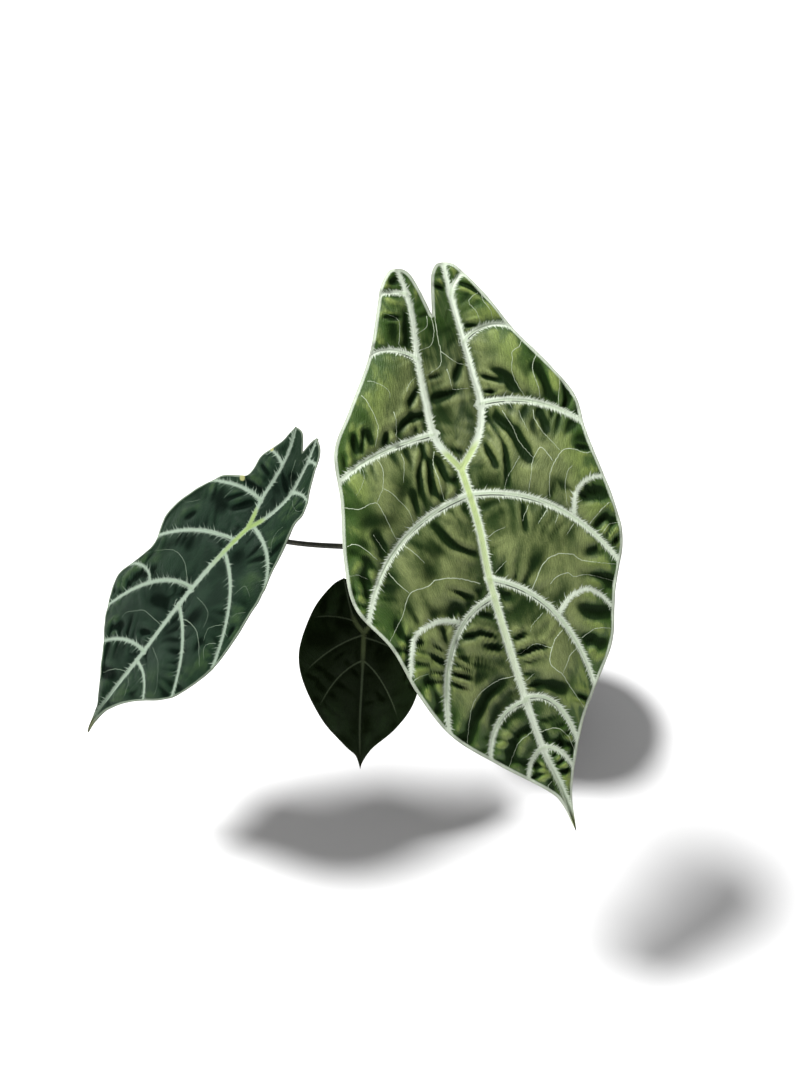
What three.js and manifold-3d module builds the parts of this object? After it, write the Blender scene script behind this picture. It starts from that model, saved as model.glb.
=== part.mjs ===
// A potted alocasia: a plastic nursery pot of soil, a short rhizome and three arrow-shaped leaves.
// Millimetres, +Z up. The origin is the centre of the pot's underside, and -Y is the front.

import * as THREE from 'three';
import { mergeVertices } from 'three/addons/utils/BufferGeometryUtils.js';
import Module from 'manifold-3d';

const wasm = await Module();
wasm.setup();

// Driving dimensions

const FIT_GAP = 0.3;

const POT = {
  height: 118,
  rimRadius: 69,
  bodyTopRadius: 64.5,
  baseRadius: 48,
  wall: 2,
  skirtHeight: 12,
  skirtTaper: 0.5,
  edgeRound: 2,
  holeCount: 8,
  holeRadius: 4.5,
  holeCircle: 34,
  holeSides: 16,
  segments: 48,
};

const SOIL = {
  height: 104,
  lump: 2.2,
  edgeClearance: 0.5,
  rings: 9,
};

const RHIZOME = {
  radius: 14,
  bottom: 62,
  top: 123,
  scarSpacing: 5.5,
  scarDepth: 0.9,
  toe: 4,
  shoulder: 5,
  segments: 24,
};

const SOCKET_FLOOR = 111;
const CROWN_HEIGHT = 128;

// Each blade's own frame has its origin where the petiole joins, +Y toward the two back lobes
// and +Z out of the upper face. Ribs and margins are given in that plane, in millimetres.
// A side vein is its start on the rib, the corner it bends round and its end on the margin.

const LARGE = {
  name: 'large',
  joint: [-55, -124, 343],
  heading: -64,
  droop: 47,
  roll: -14,
  arch: { tip: 520, lobes: 900 },
  gutter: { slope: 0.2, radius: 260 },
  quilt: 3.4,
  midrib: [[0, 0], [0, -34], [-3, -71], [-2, -128], [1, -171], [6, -198], [9, -231]],
  left: {
    lobeRib: [[0, 0], [-9, 20], [-8, 42], [-5, 67], [0, 93], [1, 110], [0, 122]],
    margin: [
      [0, 122], [-4, 122], [-8, 119], [-13, 113], [-19, 101], [-32, 76], [-52, 50], [-67, 30],
      [-72, 2], [-80, -30], [-82, -58], [-69, -86], [-62, -116], [-50, -146], [-27, -173],
      [-3, -198], [4, -210], [9, -231],
    ],
    innerMargin: [[0, 122], [4, 120], [7, 115], [9, 105], [11, 90]],
    veins: [
      [[1, 106], [-7, 110], [-14, 109]],
      [[-5, 68], [-20, 82], [-32, 76]],
      [[-10, 23], [-48, 25], [-70, 13]],
      [[-2, -16], [-56, -19], [-77, -69]],
      [[-4, -75], [-42, -80], [-51, -144]],
      [[-2, -140], [-25, -140], [-30, -169]],
      [[1, -172], [-9, -174], [-12, -190]],
    ],
  },
  right: {
    lobeRib: [[0, 0], [15, 15], [22, 32], [23, 51], [24, 72], [25, 95], [27, 118]],
    margin: [
      [27, 118], [31, 116], [35, 111], [43, 94], [54, 66], [67, 40], [75, 20], [75, -4],
      [79, -47], [77, -69], [65, -94], [56, -121], [41, -143], [28, -162], [17, -188],
      [11, -207], [9, -231],
    ],
    innerMargin: [[27, 118], [23, 118], [19, 114], [16, 107], [11, 90]],
    veins: [
      [[25, 98], [29, 105], [35, 108]],
      [[25, 70], [40, 80], [53, 69]],
      [[23, 32], [52, 31], [76, 5]],
      [[1, -15], [50, -24], [72, -78]],
      [[-1, -66], [37, -85], [40, -145]],
      [[-2, -139], [19, -138], [21, -176]],
      [[1, -172], [12, -172], [16, -190]],
    ],
  },
  across: [0, 0.08, 0.3, 0.5, 0.7, 0.92, 1],
  outward: [0.05, 0.18, 0.36, 0.57, 0.79, 1],
  ribSpacing: 7,
  petiole: { foot: [4.5, -3], rise: 110, neck: 80, footRadius: 4.6, neckRadius: 2.3, steps: 28 },
};

const MEDIUM = {
  name: 'medium',
  joint: [-189, -65, 250],
  heading: -155,
  droop: 36,
  roll: 8,
  arch: { tip: 420, lobes: -150 },
  gutter: { slope: 0.12, radius: 260 },
  quilt: 2.4,
  midrib: [[0, 0], [1, -34], [4, -93], [4, -120], [2, -150], [0, -188]],
  left: {
    lobeRib: [[0, 0], [-9, 19], [-12, 37], [-16, 55], [-22, 68]],
    margin: [
      [-22, 68], [-25, 55], [-32, 38], [-31, 20], [-48, 5], [-58, -22], [-60, -44], [-50, -63],
      [-54, -82], [-59, -101], [-46, -123], [-25, -142], [-6, -163], [-2, -173], [0, -188],
    ],
    innerMargin: [[-22, 68], [-13, 69], [-4, 61]],
    veins: [
      [[-13, 44], [-20, 47], [-29, 44]],
      [[-8, 18], [-28, 16], [-51, -3]],
      [[1, -12], [-30, -25], [-52, -56]],
      [[3, -55], [-28, -64], [-48, -118]],
      [[3, -111], [-15, -114], [-31, -134]],
    ],
  },
  right: {
    lobeRib: [[0, 0], [5, 14], [8, 34], [5, 55], [3, 65], [1, 75]],
    margin: [
      [1, 75], [10, 71], [17, 57], [28, 38], [30, 26], [43, -2], [54, -27], [61, -57],
      [59, -89], [47, -114], [27, -135], [10, -158], [3, -176], [0, -188],
    ],
    innerMargin: [[1, 75], [-2, 70], [-4, 61]],
    veins: [
      [[4, 60], [10, 64], [15, 63]],
      [[9, 38], [16, 45], [27, 44]],
      [[1, 3], [32, 8], [49, -13]],
      [[0, -23], [40, -26], [60, -73]],
      [[3, -70], [36, -76], [51, -110]],
      [[4, -120], [21, -115], [33, -130]],
    ],
  },
  across: [0, 0.1, 0.36, 0.64, 0.9, 1],
  outward: [0.06, 0.22, 0.46, 0.73, 1],
  ribSpacing: 6.5,
  petiole: { foot: [-3, 6], rise: 69, neck: 67, footRadius: 3.6, neckRadius: 1.7, steps: 28 },
};

const SMALL = {
  name: 'small',
  joint: [-115, -73, 162],
  heading: -90,
  droop: 50,
  roll: 0,
  arch: { tip: 300, lobes: 300 },
  gutter: { slope: 0.15, radius: 150 },
  quilt: 1.4,
  midrib: [[0, 0], [-1, -27], [-3, -64], [-3, -97]],
  left: {
    lobeRib: [[0, 0], [-6, 8], [-10, 20], [-14, 38]],
    margin: [
      [-14, 38], [-22, 33], [-34, 18], [-43, -4], [-45, -20], [-41, -37], [-29, -61], [-13, -80],
      [-6, -87], [-3, -97],
    ],
    innerMargin: [[-14, 38], [-6, 34], [0, 26]],
    veins: [
      [[-7, 8], [-22, 14], [-38, 11]],
      [[0, -1], [-24, -8], [-43, -30]],
      [[-1, -19], [-20, -26], [-33, -55]],
      [[-3, -55], [-12, -58], [-18, -75]],
    ],
  },
  right: {
    lobeRib: [[0, 0], [6, 8], [10, 20], [13, 38]],
    margin: [
      [13, 38], [22, 33], [35, 18], [42, -4], [41, -26], [34, -50], [22, -67], [6, -81],
      [-1, -91], [-3, -97],
    ],
    innerMargin: [[13, 38], [6, 34], [0, 26]],
    veins: [
      [[7, 9], [21, 14], [38, 10]],
      [[0, -3], [22, -8], [41, -26]],
      [[-1, -19], [15, -30], [25, -64]],
      [[-3, -56], [7, -60], [11, -77]],
    ],
  },
  across: [0, 0.12, 0.5, 0.88, 1],
  outward: [0.08, 0.32, 0.64, 1],
  ribSpacing: 6,
  petiole: { foot: [-5.5, -5.5], rise: 35, neck: 30, footRadius: 2.7, neckRadius: 1.3, steps: 20 },
};

const BLADE = {
  thickness: 1,
  midribRidge: 2,
  sideVeinRidge: 0.8,
  tipRidgeShare: 0.25,
  marginLift: 0.45,
  fullQuiltWidth: 45,
  lobeRows: [0, 0.3, 0.65, 1],
  lobeQuilt: 1,
  curveSteps: 160,
  weld: 0.02,
};

const PETIOLE = { sides: 12, taper: 1.6, archPoints: 10 };

// Materials

function paint(color, roughness) {
  return new THREE.MeshStandardMaterial({ color, roughness, metalness: 0 });
}

const COLOURS = {
  pot: [0x23262a, 0.5],
  soil: [0x3a281c, 0.95],
  rhizome: [0x3d3122, 0.8],
  petiole: [0x1f241a, 0.45],
  large: [0x6f7f45, 0.4],
  medium: [0x2e4033, 0.35],
  small: [0x1c2117, 0.35],
};

// Joining and cutting closed meshes

function toSolid(geometry) {
  const bare = geometry.clone();
  bare.deleteAttribute('normal');
  bare.deleteAttribute('uv');
  const merged = mergeVertices(bare, 1e-4);
  const triangles = [];
  const index = merged.index.array;
  for (let i = 0; i < index.length; i += 3) {
    const [a, b, c] = [index[i], index[i + 1], index[i + 2]];
    if (a !== b && b !== c && a !== c) triangles.push(a, b, c);
  }
  return new wasm.Manifold(new wasm.Mesh({
    numProp: 3,
    vertProperties: new Float32Array(merged.attributes.position.array),
    triVerts: new Uint32Array(triangles),
  }));
}

function toGeometry(solid) {
  const mesh = solid.getMesh();
  const geometry = new THREE.BufferGeometry();
  geometry.setAttribute('position', new THREE.BufferAttribute(mesh.vertProperties, 3));
  geometry.setIndex(new THREE.BufferAttribute(mesh.triVerts, 1));
  geometry.computeVertexNormals();
  return geometry;
}

function cut(geometry, tools) {
  let solid = toSolid(geometry);
  for (const tool of tools) solid = solid.subtract(toSolid(tool));
  return toGeometry(solid);
}

// A lathe turns about Y, so its solid is laid over to turn about Z.

function turned(profile, segments) {
  const points = profile.map(([radius, z]) => new THREE.Vector2(radius, z));
  const lathe = new THREE.LatheGeometry(points, segments);
  lathe.rotateX(Math.PI / 2);
  return lathe;
}

// Pot

function bodyRadius(z) {
  const share = z / POT.height;
  return POT.baseRadius + (POT.bodyTopRadius - POT.baseRadius) * share;
}

function innerRadius(z) {
  return bodyRadius(z) - POT.wall;
}

function potGeometry() {
  const { height, rimRadius, baseRadius, wall, skirtHeight, skirtTaper, edgeRound } = POT;
  const skirt = height - skirtHeight;
  const profile = [
    [0, 0],
    [baseRadius - edgeRound, 0],
    [baseRadius, edgeRound],
    [bodyRadius(skirt + wall), skirt + wall],
    [rimRadius - wall, skirt + wall],
    [rimRadius - wall, skirt],
    [rimRadius - skirtTaper, skirt],
    [rimRadius, height - edgeRound],
    [rimRadius - edgeRound / 2, height],
    [innerRadius(height), height],
    [innerRadius(wall + edgeRound), wall + edgeRound],
    [innerRadius(wall) - edgeRound, wall],
    [0, wall],
  ];
  const holes = [];
  for (let i = 0; i < POT.holeCount; i += 1) {
    const angle = (2 * Math.PI * (i + 0.5)) / POT.holeCount;
    const hole = new THREE.CylinderGeometry(POT.holeRadius, POT.holeRadius, 4 * wall, POT.holeSides);
    hole.rotateX(Math.PI / 2);
    hole.translate(POT.holeCircle * Math.cos(angle), POT.holeCircle * Math.sin(angle), wall / 2);
    holes.push(hole);
  }
  return cut(turned(profile, POT.segments), holes);
}

// Soil: a plug that fills the pot, with a lumpy top

function lumpHeight(x, y) {
  const wide = Math.sin(x * 0.13 + 1.3) * Math.cos(y * 0.11 - 0.4);
  const narrow = Math.sin(x * 0.31 - y * 0.22 + 0.8) * Math.sin(y * 0.35 + x * 0.12);
  return SOIL.lump * (0.6 * wide + 0.4 * narrow);
}

function soilGeometry() {
  const floor = POT.wall + FIT_GAP;
  const profile = [
    [0, floor],
    [innerRadius(POT.wall) - POT.edgeRound - FIT_GAP, floor],
    [innerRadius(POT.wall + POT.edgeRound) - FIT_GAP, POT.wall + POT.edgeRound + FIT_GAP],
  ];
  const edge = innerRadius(SOIL.height) - SOIL.edgeClearance;
  for (let ring = SOIL.rings; ring >= 0; ring -= 1) {
    profile.push([(edge * ring) / SOIL.rings, SOIL.height]);
  }
  const plug = turned(profile, POT.segments);
  const place = plug.attributes.position;
  for (let i = 0; i < place.count; i += 1) {
    const [x, y, z] = [place.getX(i), place.getY(i), place.getZ(i)];
    const fade = 1 - Math.pow(Math.hypot(x, y) / edge, 6);
    if (z > SOIL.height - 1) place.setZ(i, SOIL.height + fade * lumpHeight(x, y));
  }
  return plug;
}

// Rhizome: a short upright stem with the ring scars of fallen leaves

function rhizomeProfile() {
  const { radius, bottom, top, scarSpacing, scarDepth, toe, shoulder } = RHIZOME;
  const profile = [[0, bottom], [radius * 0.8, bottom], [radius, bottom + toe]];
  for (let z = SOIL.height - toe; z < top - shoulder; z += scarSpacing) {
    profile.push([radius, z], [radius - scarDepth, z + scarSpacing / 2]);
  }
  profile.push([radius * 0.95, top - shoulder], [radius * 0.8, top - shoulder / 3]);
  profile.push([radius * 0.5, top], [0, top]);
  return profile;
}

// The hole in the soil that the rhizome stands in

function bedProfile() {
  const { radius, bottom, top, toe } = RHIZOME;
  const floor = bottom - FIT_GAP;
  const wall = radius + FIT_GAP;
  return [[0, floor], [radius * 0.8 + FIT_GAP, floor], [wall, bottom + toe - FIT_GAP], [wall, top], [0, top]];
}

// A round petiole along a curve, thicker at the foot than at the neck

function petioleGeometry(curve, footRadius, neckRadius, steps) {
  const petiole = new THREE.CylinderGeometry(1, 1, 1, PETIOLE.sides, steps);
  const frames = curve.computeFrenetFrames(steps, false);
  const place = petiole.attributes.position;
  for (let i = 0; i < place.count; i += 1) {
    const [x, y, z] = [place.getX(i), place.getY(i), place.getZ(i)];
    const step = Math.round((y + 0.5) * steps);
    const share = step / steps;
    const radius = neckRadius + (footRadius - neckRadius) * Math.pow(1 - share, PETIOLE.taper);
    const spot = curve.getPointAt(share);
    spot.addScaledVector(frames.normals[step], radius * z);
    spot.addScaledVector(frames.binormals[step], radius * x);
    place.setXYZ(i, spot.x, spot.y, spot.z);
  }
  return petiole;
}

// Leaf frame: the unit vectors across the blade, toward its lobes and out of its upper face

function leafAxes(leaf) {
  const heading = THREE.MathUtils.degToRad(leaf.heading);
  const droop = THREE.MathUtils.degToRad(leaf.droop);
  const roll = THREE.MathUtils.degToRad(leaf.roll);
  const lobes = new THREE.Vector3(
    -Math.cos(heading) * Math.cos(droop),
    -Math.sin(heading) * Math.cos(droop),
    Math.sin(droop),
  );
  const level = new THREE.Vector3(
    Math.cos(heading) * Math.sin(droop),
    Math.sin(heading) * Math.sin(droop),
    Math.cos(droop),
  );
  const upper = level.applyAxisAngle(lobes, roll);
  const across = new THREE.Vector3().crossVectors(lobes, upper);
  return { across, lobes, upper };
}

// Plane paths as dense points with their running length

function smooth(points) {
  const spline = new THREE.SplineCurve(points.map(([x, y]) => new THREE.Vector2(x, y)));
  return path(spline.getPoints(BLADE.curveSteps));
}

function path(points) {
  const lengths = [0];
  for (let i = 1; i < points.length; i += 1) {
    lengths.push(lengths[i - 1] + points[i].distanceTo(points[i - 1]));
  }
  return { points, lengths, length: lengths[lengths.length - 1] };
}

function pointAt(line, station) {
  const { points, lengths } = line;
  let i = 1;
  while (i < lengths.length - 1 && lengths[i] < station) i += 1;
  const share = (station - lengths[i - 1]) / (lengths[i] - lengths[i - 1]);
  return points[i - 1].clone().lerp(points[i], THREE.MathUtils.clamp(share, 0, 1));
}

function stationNear(line, [x, y]) {
  const target = new THREE.Vector2(x, y);
  let best = 0;
  line.points.forEach((point, i) => {
    if (point.distanceTo(target) < line.points[best].distanceTo(target)) best = i;
  });
  return line.lengths[best];
}

function distanceTo(line, spot) {
  let nearest = Infinity;
  for (let i = 1; i < line.points.length; i += 1) {
    const start = line.points[i - 1];
    const edge = line.points[i].clone().sub(start);
    const reach = spot.clone().sub(start);
    const share = THREE.MathUtils.clamp(reach.dot(edge) / edge.lengthSq(), 0, 1);
    nearest = Math.min(nearest, reach.addScaledVector(edge, -share).length());
  }
  return nearest;
}

// Blade: each half is a row of panels between its side veins, drawn out from rib to margin

function halfPanels(leaf, side) {
  const lobeRib = smooth(side.lobeRib);
  const midrib = smooth(leaf.midrib);
  const rib = path([...lobeRib.points.slice().reverse(), ...midrib.points.slice(1)]);
  const margin = smooth(side.margin);
  const starts = [0, ...side.veins.map(([start]) => stationNear(rib, start)), rib.length];
  const ends = [0, ...side.veins.map(([, , end]) => stationNear(margin, end)), margin.length];
  const veins = starts.map((start, i) => {
    const corner = i > 0 && i < starts.length - 1 ? side.veins[i - 1][1] : null;
    const [from, to] = [pointAt(rib, start), pointAt(margin, ends[i])];
    const bend = corner ? new THREE.Vector2(...corner) : from.clone().lerp(to, 0.5);
    return new THREE.QuadraticBezierCurve(from, bend, to);
  });
  return { rib, margin, starts, ends, veins, joint: lobeRib.length };
}

// Even stations along a rib, both ends included

function evenStations(length, spacing) {
  const count = Math.round(length / spacing);
  return Array.from({ length: count + 1 }, (_, i) => (length * i) / count);
}

function between(marks, panel, share) {
  return marks[panel] + (marks[panel + 1] - marks[panel]) * share;
}

function panelSpot(half, panel, share, out) {
  const first = half.veins[panel];
  const second = half.veins[panel + 1];
  const onRib = pointAt(half.rib, between(half.starts, panel, share));
  const onMargin = pointAt(half.margin, between(half.ends, panel, share));
  const spot = new THREE.Vector2();
  spot.addScaledVector(first.getPoint(out), 1 - share).addScaledVector(second.getPoint(out), share);
  spot.addScaledVector(onRib, 1 - out).addScaledVector(onMargin, out);
  spot.addScaledVector(first.v0, -(1 - share) * (1 - out)).addScaledVector(first.v2, -(1 - share) * out);
  spot.addScaledVector(second.v0, -share * (1 - out)).addScaledVector(second.v2, -share * out);
  return spot;
}

// Collects welded vertices of the plane net, each with its quilting rise and its rib on the back

function makeNet() {
  const vertices = [];
  const triangles = [];
  const vertex = (spot, rise, ridge) => {
    const known = vertices.findIndex((other) => other.spot.distanceTo(spot) < BLADE.weld);
    return known < 0 ? vertices.push({ spot, rise, ridge }) - 1 : known;
  };
  const triangle = (a, b, c, flip) => {
    if (a !== b && b !== c && a !== c) triangles.push(flip ? [a, c, b] : [a, b, c]);
  };
  const sheet = (rows, flip) => {
    for (let i = 1; i < rows.length; i += 1) {
      for (let j = 1; j < rows[i].length; j += 1) {
        const [a, b, c, d] = [rows[i - 1][j - 1], rows[i][j - 1], rows[i][j], rows[i - 1][j]];
        triangle(a, b, c, flip);
        triangle(a, c, d, flip);
      }
    }
  };
  // Joins two lines of vertices with unlike stations by a strip of triangles
  const strip = (near, far, flip) => {
    let [i, j] = [0, 0];
    while (i + 1 < near.length || j + 1 < far.length) {
      const nextNear = i + 1 < near.length ? near[i + 1].station : Infinity;
      const nextFar = j + 1 < far.length ? far[j + 1].station : Infinity;
      if (nextNear <= nextFar) {
        triangle(near[i].id, near[i + 1].id, far[j].id, flip);
        i += 1;
      } else {
        triangle(near[i].id, far[j + 1].id, far[j].id, flip);
        j += 1;
      }
    }
  };
  return { vertices, triangles, vertex, sheet, strip };
}

function ribRidge(leaf, fromJoint) {
  const reach = Math.abs(leaf.midrib[leaf.midrib.length - 1][1]);
  return BLADE.midribRidge * Math.max(BLADE.tipRidgeShare, 1 - (1 - BLADE.tipRidgeShare) * fromJoint / reach);
}

function addHalf(net, leaf, side, flip) {
  const half = halfPanels(leaf, side);
  const inner = smooth(side.innerMargin);
  const midribLength = half.rib.length - half.joint;
  const lobeStations = evenStations(half.joint, leaf.ribSpacing);
  const tipStations = evenStations(midribLength, leaf.ribSpacing).slice(1).map((d) => half.joint + d);
  const ribLine = [...lobeStations, ...tipStations].map((station) => {
    const ridge = ribRidge(leaf, Math.abs(station - half.joint));
    return { station, id: net.vertex(pointAt(half.rib, station), 0, ridge) };
  });
  const sideLine = [];
  for (let panel = 0; panel + 1 < half.starts.length; panel += 1) {
    const width = half.ends[panel + 1] - half.ends[panel];
    const quilt = leaf.quilt * Math.min(1, width / BLADE.fullQuiltWidth);
    const rows = leaf.across.map((share) => leaf.outward.map((out) => {
      const swell = Math.sin(Math.PI * out) + BLADE.marginLift * out * out;
      const rise = quilt * 4 * share * (1 - share) * swell;
      const onVein = share === 0 || share === 1;
      const ridge = onVein ? BLADE.sideVeinRidge * (1 - out) : 0;
      return net.vertex(panelSpot(half, panel, share, out), rise, ridge);
    }));
    net.sheet(rows, flip);
    rows.forEach((row, i) => {
      const station = between(half.starts, panel, leaf.across[i]);
      if (sideLine.length === 0 || row[0] !== sideLine[sideLine.length - 1].id) {
        sideLine.push({ station, id: row[0] });
      }
    });
  }
  net.strip(ribLine, sideLine, flip);

  const lobeRows = lobeStations.map((station) => BLADE.lobeRows.map((out) => {
    const onRib = pointAt(half.rib, station);
    const onInner = pointAt(inner, (inner.length * station) / half.joint);
    const rise = BLADE.lobeQuilt * Math.sin(Math.PI * out) * (station / half.joint);
    return net.vertex(onRib.lerp(onInner, out), rise, 0);
  }));
  net.sheet(lobeRows, !flip);
}

function bladeNet(leaf) {
  const net = makeNet();
  addHalf(net, leaf, leaf.left, true);
  addHalf(net, leaf, leaf.right, false);
  return net;
}

// The blade is curved: arched toward tip and lobes, and guttered along its ribs

function surfaceHeight(leaf, ribs, spot) {
  const radius = spot.y < 0 ? leaf.arch.tip : leaf.arch.lobes;
  const fromRib = Math.min(...ribs.map((rib) => distanceTo(rib, spot)));
  const gutter = leaf.gutter.slope * fromRib - (fromRib * fromRib) / (2 * leaf.gutter.radius);
  return gutter - (spot.y * spot.y) / (2 * radius);
}

function bladeGeometry(leaf) {
  const net = bladeNet(leaf);
  const ribs = [leaf.midrib, leaf.left.lobeRib, leaf.right.lobeRib].map(smooth);
  const { across, lobes, upper } = leafAxes(leaf);
  const joint = new THREE.Vector3(...leaf.joint);
  const positions = [];
  const lift = (vertex, height) => {
    const place = joint.clone().addScaledVector(across, vertex.spot.x);
    place.addScaledVector(lobes, vertex.spot.y).addScaledVector(upper, height);
    positions.push(place.x, place.y, place.z);
  };
  const heights = net.vertices.map((vertex) => surfaceHeight(leaf, ribs, vertex.spot) + vertex.rise);
  net.vertices.forEach((vertex, i) => lift(vertex, heights[i]));
  net.vertices.forEach((vertex, i) => lift(vertex, heights[i] - BLADE.thickness - vertex.ridge));

  const count = net.vertices.length;
  const faces = [];
  const edges = new Map();
  for (const [a, b, c] of net.triangles) {
    faces.push(a, b, c, a + count, c + count, b + count);
    for (const [from, to] of [[a, b], [b, c], [c, a]]) {
      const back = `${to},${from}`;
      if (edges.has(back)) edges.delete(back);
      else edges.set(`${from},${to}`, [from, to]);
    }
  }
  for (const [from, to] of edges.values()) {
    faces.push(from, from + count, to + count, from, to + count, to);
  }
  const geometry = new THREE.BufferGeometry();
  geometry.setAttribute('position', new THREE.Float32BufferAttribute(positions, 3));
  geometry.setIndex(faces);
  geometry.computeVertexNormals();
  return geometry;
}

// A petiole rises straight from its socket, arches over and meets its blade squarely from below

function petioleCurve(leaf, start, end) {
  const { upper } = leafAxes(leaf);
  const [x, y] = leaf.petiole.foot;
  const crown = new THREE.Vector3(x, y, CROWN_HEIGHT);
  const neck = new THREE.Vector3(...leaf.joint).addScaledVector(upper, -end);
  const arch = new THREE.CubicBezierCurve3(
    crown,
    crown.clone().setZ(CROWN_HEIGHT + leaf.petiole.rise),
    neck.clone().addScaledVector(upper, -leaf.petiole.neck),
    neck,
  );
  const points = [new THREE.Vector3(x, y, start), ...arch.getPoints(PETIOLE.archPoints)];
  return new THREE.CatmullRomCurve3(points, false, 'centripetal');
}

function petioleAt(leaf, grow) {
  const { footRadius, neckRadius, steps } = leaf.petiole;
  const neckEnd = BLADE.thickness + BLADE.midribRidge + FIT_GAP;
  const curve = petioleCurve(leaf, SOCKET_FLOOR + FIT_GAP - grow, neckEnd);
  return petioleGeometry(curve, footRadius + grow, neckRadius + grow, steps);
}

// Assembly

const leaves = [LARGE, MEDIUM, SMALL];
const plant = new THREE.Group();

function add(name, geometry, [color, roughness]) {
  const mesh = new THREE.Mesh(geometry, paint(color, roughness));
  mesh.name = name;
  plant.add(mesh);
}

const bed = turned(bedProfile(), RHIZOME.segments);
const sockets = leaves.map((leaf) => petioleAt(leaf, FIT_GAP));
add('pot', potGeometry(), COLOURS.pot);
add('soil', cut(soilGeometry(), [bed]), COLOURS.soil);
add('rhizome', cut(turned(rhizomeProfile(), RHIZOME.segments), sockets), COLOURS.rhizome);
for (const leaf of leaves) {
  add(`petiole_${leaf.name}`, petioleAt(leaf, 0), COLOURS.petiole);
  add(`leaf_blade_${leaf.name}`, bladeGeometry(leaf), COLOURS[leaf.name]);
}

export default plant;
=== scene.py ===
# A potted alocasia: a plastic nursery pot of bark mix, a short rhizome and three arrow-shaped
# leaves on slim stalks. Meshes are worked out in millimetres and written in metres.

import math

import bpy
import numpy as np
from mathutils.bvhtree import BVHTree
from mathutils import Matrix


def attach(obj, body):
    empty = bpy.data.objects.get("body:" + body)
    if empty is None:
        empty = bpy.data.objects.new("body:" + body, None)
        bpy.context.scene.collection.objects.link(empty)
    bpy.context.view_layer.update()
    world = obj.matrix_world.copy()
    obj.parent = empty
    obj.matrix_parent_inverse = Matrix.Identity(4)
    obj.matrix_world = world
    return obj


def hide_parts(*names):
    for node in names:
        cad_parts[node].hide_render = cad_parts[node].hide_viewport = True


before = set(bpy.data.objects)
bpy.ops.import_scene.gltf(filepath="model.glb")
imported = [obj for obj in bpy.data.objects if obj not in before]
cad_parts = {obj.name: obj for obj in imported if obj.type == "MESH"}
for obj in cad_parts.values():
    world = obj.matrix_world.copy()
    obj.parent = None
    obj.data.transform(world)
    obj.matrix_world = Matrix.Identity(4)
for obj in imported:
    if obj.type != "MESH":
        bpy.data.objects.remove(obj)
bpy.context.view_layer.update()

MM = 0.001


# The studio: a wide pale sheet that the pot stands on, lit by soft daylight from high on the left
# and by an evenly pale room. The camera looks down on the leaves.

CAMERA_PLACE = (-0.090, -0.718, 0.794)
CAMERA_TILT = 50
CAMERA_LENS = 44
WINDOW_STRENGTH = 5.4
WINDOW_WIDTH = 16
WINDOW_TILT = 28
WINDOW_TURN = -105
ROOM_STRENGTH = 0.30
SHEET_SIZE = 12.0
SHEET_DROP = 0.0003


def new_object(name, mesh):
    made = bpy.data.objects.new(name, mesh)
    bpy.context.scene.collection.objects.link(made)
    return made


def add(tree, kind, feeds=None, **settings):
    """Adds a node; each input named in feeds gets a value or reads another node's output."""
    made = tree.nodes.new(kind)
    for name, value in settings.items():
        setattr(made, name, value)
    for socket, value in (feeds or {}).items():
        if isinstance(value, bpy.types.NodeSocket):
            tree.links.new(value, made.inputs[socket])
        else:
            made.inputs[socket].default_value = value
    return made.outputs


def new_material(name, **values):
    """A material with one principled shader, whose constant values are set on its own sockets."""
    made = bpy.data.materials.new(name)
    made.use_nodes = True
    tree = made.node_tree
    shader = tree.nodes["Principled BSDF"]
    for socket, value in values.items():
        shader.inputs[socket.replace("_", " ")].default_value = value
    return made, tree, shader.inputs


camera = new_object("camera", bpy.data.cameras.new("camera"))
camera.location = CAMERA_PLACE
camera.rotation_euler = (math.radians(CAMERA_TILT), 0, 0)
camera.data.lens = CAMERA_LENS
bpy.context.scene.camera = camera
bpy.context.scene.view_settings.view_transform = "Standard"

window = bpy.data.lights.new("window", "SUN")
window.energy = WINDOW_STRENGTH
window.angle = math.radians(WINDOW_WIDTH)
window = new_object("window", window)
window.rotation_euler = (math.radians(WINDOW_TILT), 0, math.radians(WINDOW_TURN))

room = bpy.data.worlds.new("room")
room.use_nodes = True
room_light = room.node_tree.nodes["Background"].inputs
room_light["Color"].default_value = (1.0, 1.0, 1.0, 1)
room_light["Strength"].default_value = ROOM_STRENGTH
bpy.context.scene.world = room

sheet_mesh = bpy.data.meshes.new("sheet")
half_sheet = SHEET_SIZE / 2
sheet_corners = [(-half_sheet, -half_sheet), (half_sheet, -half_sheet)]
sheet_corners += [(half_sheet, half_sheet), (-half_sheet, half_sheet)]
sheet_mesh.from_pydata([(x, y, -SHEET_DROP) for x, y in sheet_corners], [], [(0, 1, 2, 3)])
sheet = new_object("sheet", sheet_mesh)
paper, paper_tree, paper_skin = new_material("paper", Roughness=0.9)
paper_grain = add(paper_tree, "ShaderNodeTexNoise", {"Scale": 3.0, "Detail": 2.0})
paper_tones = {6: (0.90, 0.90, 0.90, 1), 7: (0.93, 0.93, 0.93, 1)}
paper_tone = add(
    paper_tree, "ShaderNodeMix", {0: paper_grain["Fac"], **paper_tones}, data_type="RGBA"
)
paper_tree.links.new(paper_tone[2], paper_skin["Base Color"])
sheet_mesh.materials.append(paper)


# The pot: one injection-moulded tub of black plastic, 118 mm high, with a collar round its rim,
# two fine moulded rings on its wall and eight drain holes through its floor.

POT_HEIGHT = 118
POT_RIM = 69
POT_BASE = 48
POT_BODY_TOP = 64.5
POT_WALL = 2
POT_COLLAR = 12
POT_CORNER = 1.2
POT_BEVEL = 2
POT_RING_RISE = 0.5
POT_RING_HALF = 0.4
POT_RINGS = (26, 92)
POT_SEGMENTS = 144
HOLE_COUNT = 8
HOLE_CIRCLE = 34
HOLE_RADIUS = 4.5
HOLE_SIDES = 32


def body_radius(z):
    return POT_BASE + (POT_BODY_TOP - POT_BASE) * z / POT_HEIGHT


def inner_radius(z):
    return body_radius(z) - POT_WALL


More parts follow.
